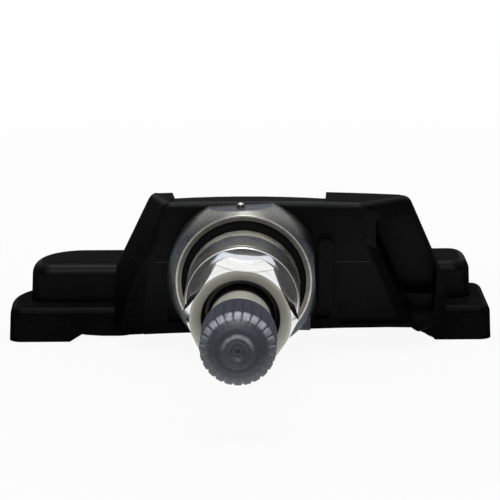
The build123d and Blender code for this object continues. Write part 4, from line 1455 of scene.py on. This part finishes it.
    def make_camera(self) -> None:
        """Place the camera at the angle of the photograph."""
        data = bpy.data.cameras.new("camera")
        data.sensor_width = self.sensor
        data.lens = self.pixels_per_mm * self.distance / MM / self.picture * self.sensor
        data.clip_start, data.clip_end = self.clip
        back = self.away()
        camera = bpy.data.objects.new("camera", data)
        camera.location = self.target + back * self.distance
        camera.rotation_mode = "QUATERNION"
        camera.rotation_quaternion = (-back).to_track_quat("-Z", "Y")
        bpy.context.scene.collection.objects.link(camera)
        bpy.context.scene.camera = camera


@dataclass
class MouldLines:
    """Fine raised lines that the mould left on the housing, placed by where the photograph shows them."""

    bead: float = 0.06
    sides: int = 6
    step: float = 2.0
    lines: tuple[tuple[Point, Point], ...] = (
        ((154.0, 262.6), (169.0, 262.2)),
        ((155.5, 252.5), (154.5, 262.6)),
        ((335.0, 262.0), (369.0, 261.6)),
        ((351.3, 274.0), (351.3, 294.0)),
        ((144.5, 212.0), (151.5, 218.0)),
        ((384.0, 292.0), (393.0, 310.0)),
        ((371.0, 271.0), (374.5, 277.5)),
    )

    def pattern(self) -> Pattern:
        """Tree that sweeps a round bead along lines.

        Returns:
            The tree.
        """
        tree = Pattern("mould_bead")
        lines, bead, sides = tree.size("Lines", "Geometry"), tree.size("Bead"), tree.size("Sides", "Int")
        path = tree.add("GeometryNodeMeshToCurve", {"Mesh": lines})
        tree.close(tree.sweep(path.outputs[0], sides, bead))
        return tree

    def paths(self, studio: Studio) -> Mesh:
        """Lay the lines on the housing where the camera sees them.

        Args:
            studio: Gives the lines of sight.

        Returns:
            A mesh of bare edges.
        """
        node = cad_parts["housing"].data
        places = [vertex.co.copy() for vertex in node.vertices]
        surface = BVHTree.FromPolygons(places, [tuple(face.vertices) for face in node.polygons])
        points: list[Vector] = []
        edges: list[tuple[int, int]] = []
        for start, end in self.lines:
            steps = max(1, round(math.dist(start, end) / self.step))
            first = len(points)
            for index in range(steps + 1):
                column, row = (a + (b - a) * index / steps for a, b in zip(start, end))
                hit, _, _, _ = surface.ray_cast(*studio.sight(column, row))
                if hit is not None:
                    points.append(hit)
            edges += [(at, at + 1) for at in range(first, len(points) - 1)]
        mesh = bpy.data.meshes.new("mould_paths")
        mesh.from_pydata(points, edges, [])
        return mesh

    def build(self, shop: Workshop, studio: Studio) -> None:
        """Make the beads.

        Args:
            shop: Gives the finish and takes the piece.
            studio: Gives the lines of sight.
        """
        sizes = {"Bead": self.bead * MM, "Sides": self.sides, "Finish": shop.material(HOUSING_EDGE)}
        beads = self.pattern().mesh("mould_lines", self.paths(studio), sizes)
        shop.piece(beads, HOUSING_EDGE, Body.SENSOR, "housing")


@dataclass
class PipRing:
    """Ring that the punch left round the pip on the cup's upper flat."""

    radius: float = 0.86
    lip: float = 0.05
    sides: int = 8
    segments: int = 40
    flat: float = 10.45
    station: float = 5.8
    tilt: float = 2.8

    def build(self, shop: Workshop) -> None:
        """Make the ring on the flat.

        Args:
            shop: Gives the finish and takes the piece.
        """
        angles = [TURN * step / self.sides for step in range(self.sides)]
        outline = [(self.radius + self.lip * math.cos(turn), self.lip * math.sin(turn)) for turn in angles]
        ring = turned("pip_ring", outline, self.segments)
        upright = Matrix.Rotation(math.radians(90.0), 4, "X")
        lift = Matrix.Translation(Vector((0.0, self.station, self.flat)) * MM)
        lean = Matrix.Rotation(math.radians(-self.tilt), 4, "Y")
        ring.transform(lean @ lift @ upright)
        shop.piece(ring, CUP_ZINC, Body.SENSOR, "seal_cup")


@dataclass
class CoverLips:
    """Lips below the cover, each from a front station back, through places of (x, lower edge, upper edge)."""

    depth: float = 1.2
    lips: tuple[tuple[float, tuple[Place, ...]], ...] = (
        (7.85, (
            (-15.0, -9.51, -8.9), (-12.87, -9.4, -8.8), (-10.48, -9.29, -8.7), (-9.28, -9.25, -8.6),
            (0.0, -8.87, -8.2), (10.71, -8.49, -7.9), (14.29, -8.36, -7.8), (17.86, -8.29, -7.7),
            (21.44, -8.22, -7.7), (24.75, -8.24, -7.7),
        )),
        (13.45, (
            (-24.9, -10.97, -10.6), (-24.06, -11.11, -10.5), (-22.85, -11.18, -10.3), (-21.63, -11.24, -10.0),
            (-20.42, -11.24, -9.8), (-19.21, -11.23, -9.6), (-18.3, -11.18, -9.4), (-17.4, -11.03, -9.3),
            (-16.2, -10.98, -9.2), (-14.4, -10.84, -9.1),
        )),
        (15.55, (
            (25.9, -10.05, -9.2), (26.53, -10.81, -9.6), (27.14, -11.1, -10.1), (27.75, -11.48, -10.7),
            (28.36, -11.74, -11.3),
        )),
    )

    def build(self, shop: Workshop) -> None:
        """Make the lips along the front edge, under the left wing and beside the right foot.

        Args:
            shop: Gives the finish and takes the piece.
        """
        shape = bmesh.new()
        for front, places in self.lips:
            back = front + self.depth
            rows = []
            for x, low, high in places:
                corners = ((front, low), (back, low), (back, high), (front, high))
                rows.append([shape.verts.new((x * MM, y * MM, z * MM)) for y, z in corners])
            skin(shape, rows, ring=False)
            shape.faces.new(rows[0])
            shape.faces.new(rows[-1][::-1])
        shop.piece(ended(shape, "cover_lips"), COVER_BLACK, Body.SENSOR, "bottom_cover")


CARRIED_NODES: dict[str, Finish] = {
    "housing": HOUSING_BLACK,
    "bottom_cover": COVER_BLACK,
    "seal_cup": CUP_ZINC,
    "grommet": SEAL_BLACK,
    "cap_seal": SEAL_BLACK,
    "fixing_screw": SCREW_STEEL,
    "circuit_board": BOARD_GREEN,
    "battery": CELL_STEEL,
    "battery_tab_lower": TIN_STRIP,
    "battery_tab_upper": TIN_STRIP,
    "sensor_chip": CHIP_BLACK,
    "port_seal": SEAL_BLACK,
    "crystal": CELL_STEEL,
    "wake_coil": COIL_COPPER,
    "antenna": TIN_STRIP,
    "core_body": BRASS,
    "core_gasket": GASKET_RED,
    "core_pin": BRASS,
    "core_cup": SEAL_BLACK,
}


def main() -> None:
    """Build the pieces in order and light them."""
    logging.basicConfig(level=logging.INFO, format="%(name)s: %(message)s")
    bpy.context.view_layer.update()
    bpy.context.scene.view_settings.view_transform = "Standard"
    shop = Workshop()
    studio = Studio()
    for node, finish in CARRIED_NODES.items():
        shop.paint(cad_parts[node].data, finish)
        LOG.info("dressed %s in %s", node, finish.name)
    for assembly in (ValveStem(), ClampSleeve(), HexNut(), ValveCap(), CoreSpring()):
        assembly.build(shop)
    MouldLines().build(shop, studio)
    PipRing().build(shop)
    CoverLips().build(shop)
    studio.build()


if __name__ == "__main__":
    main()
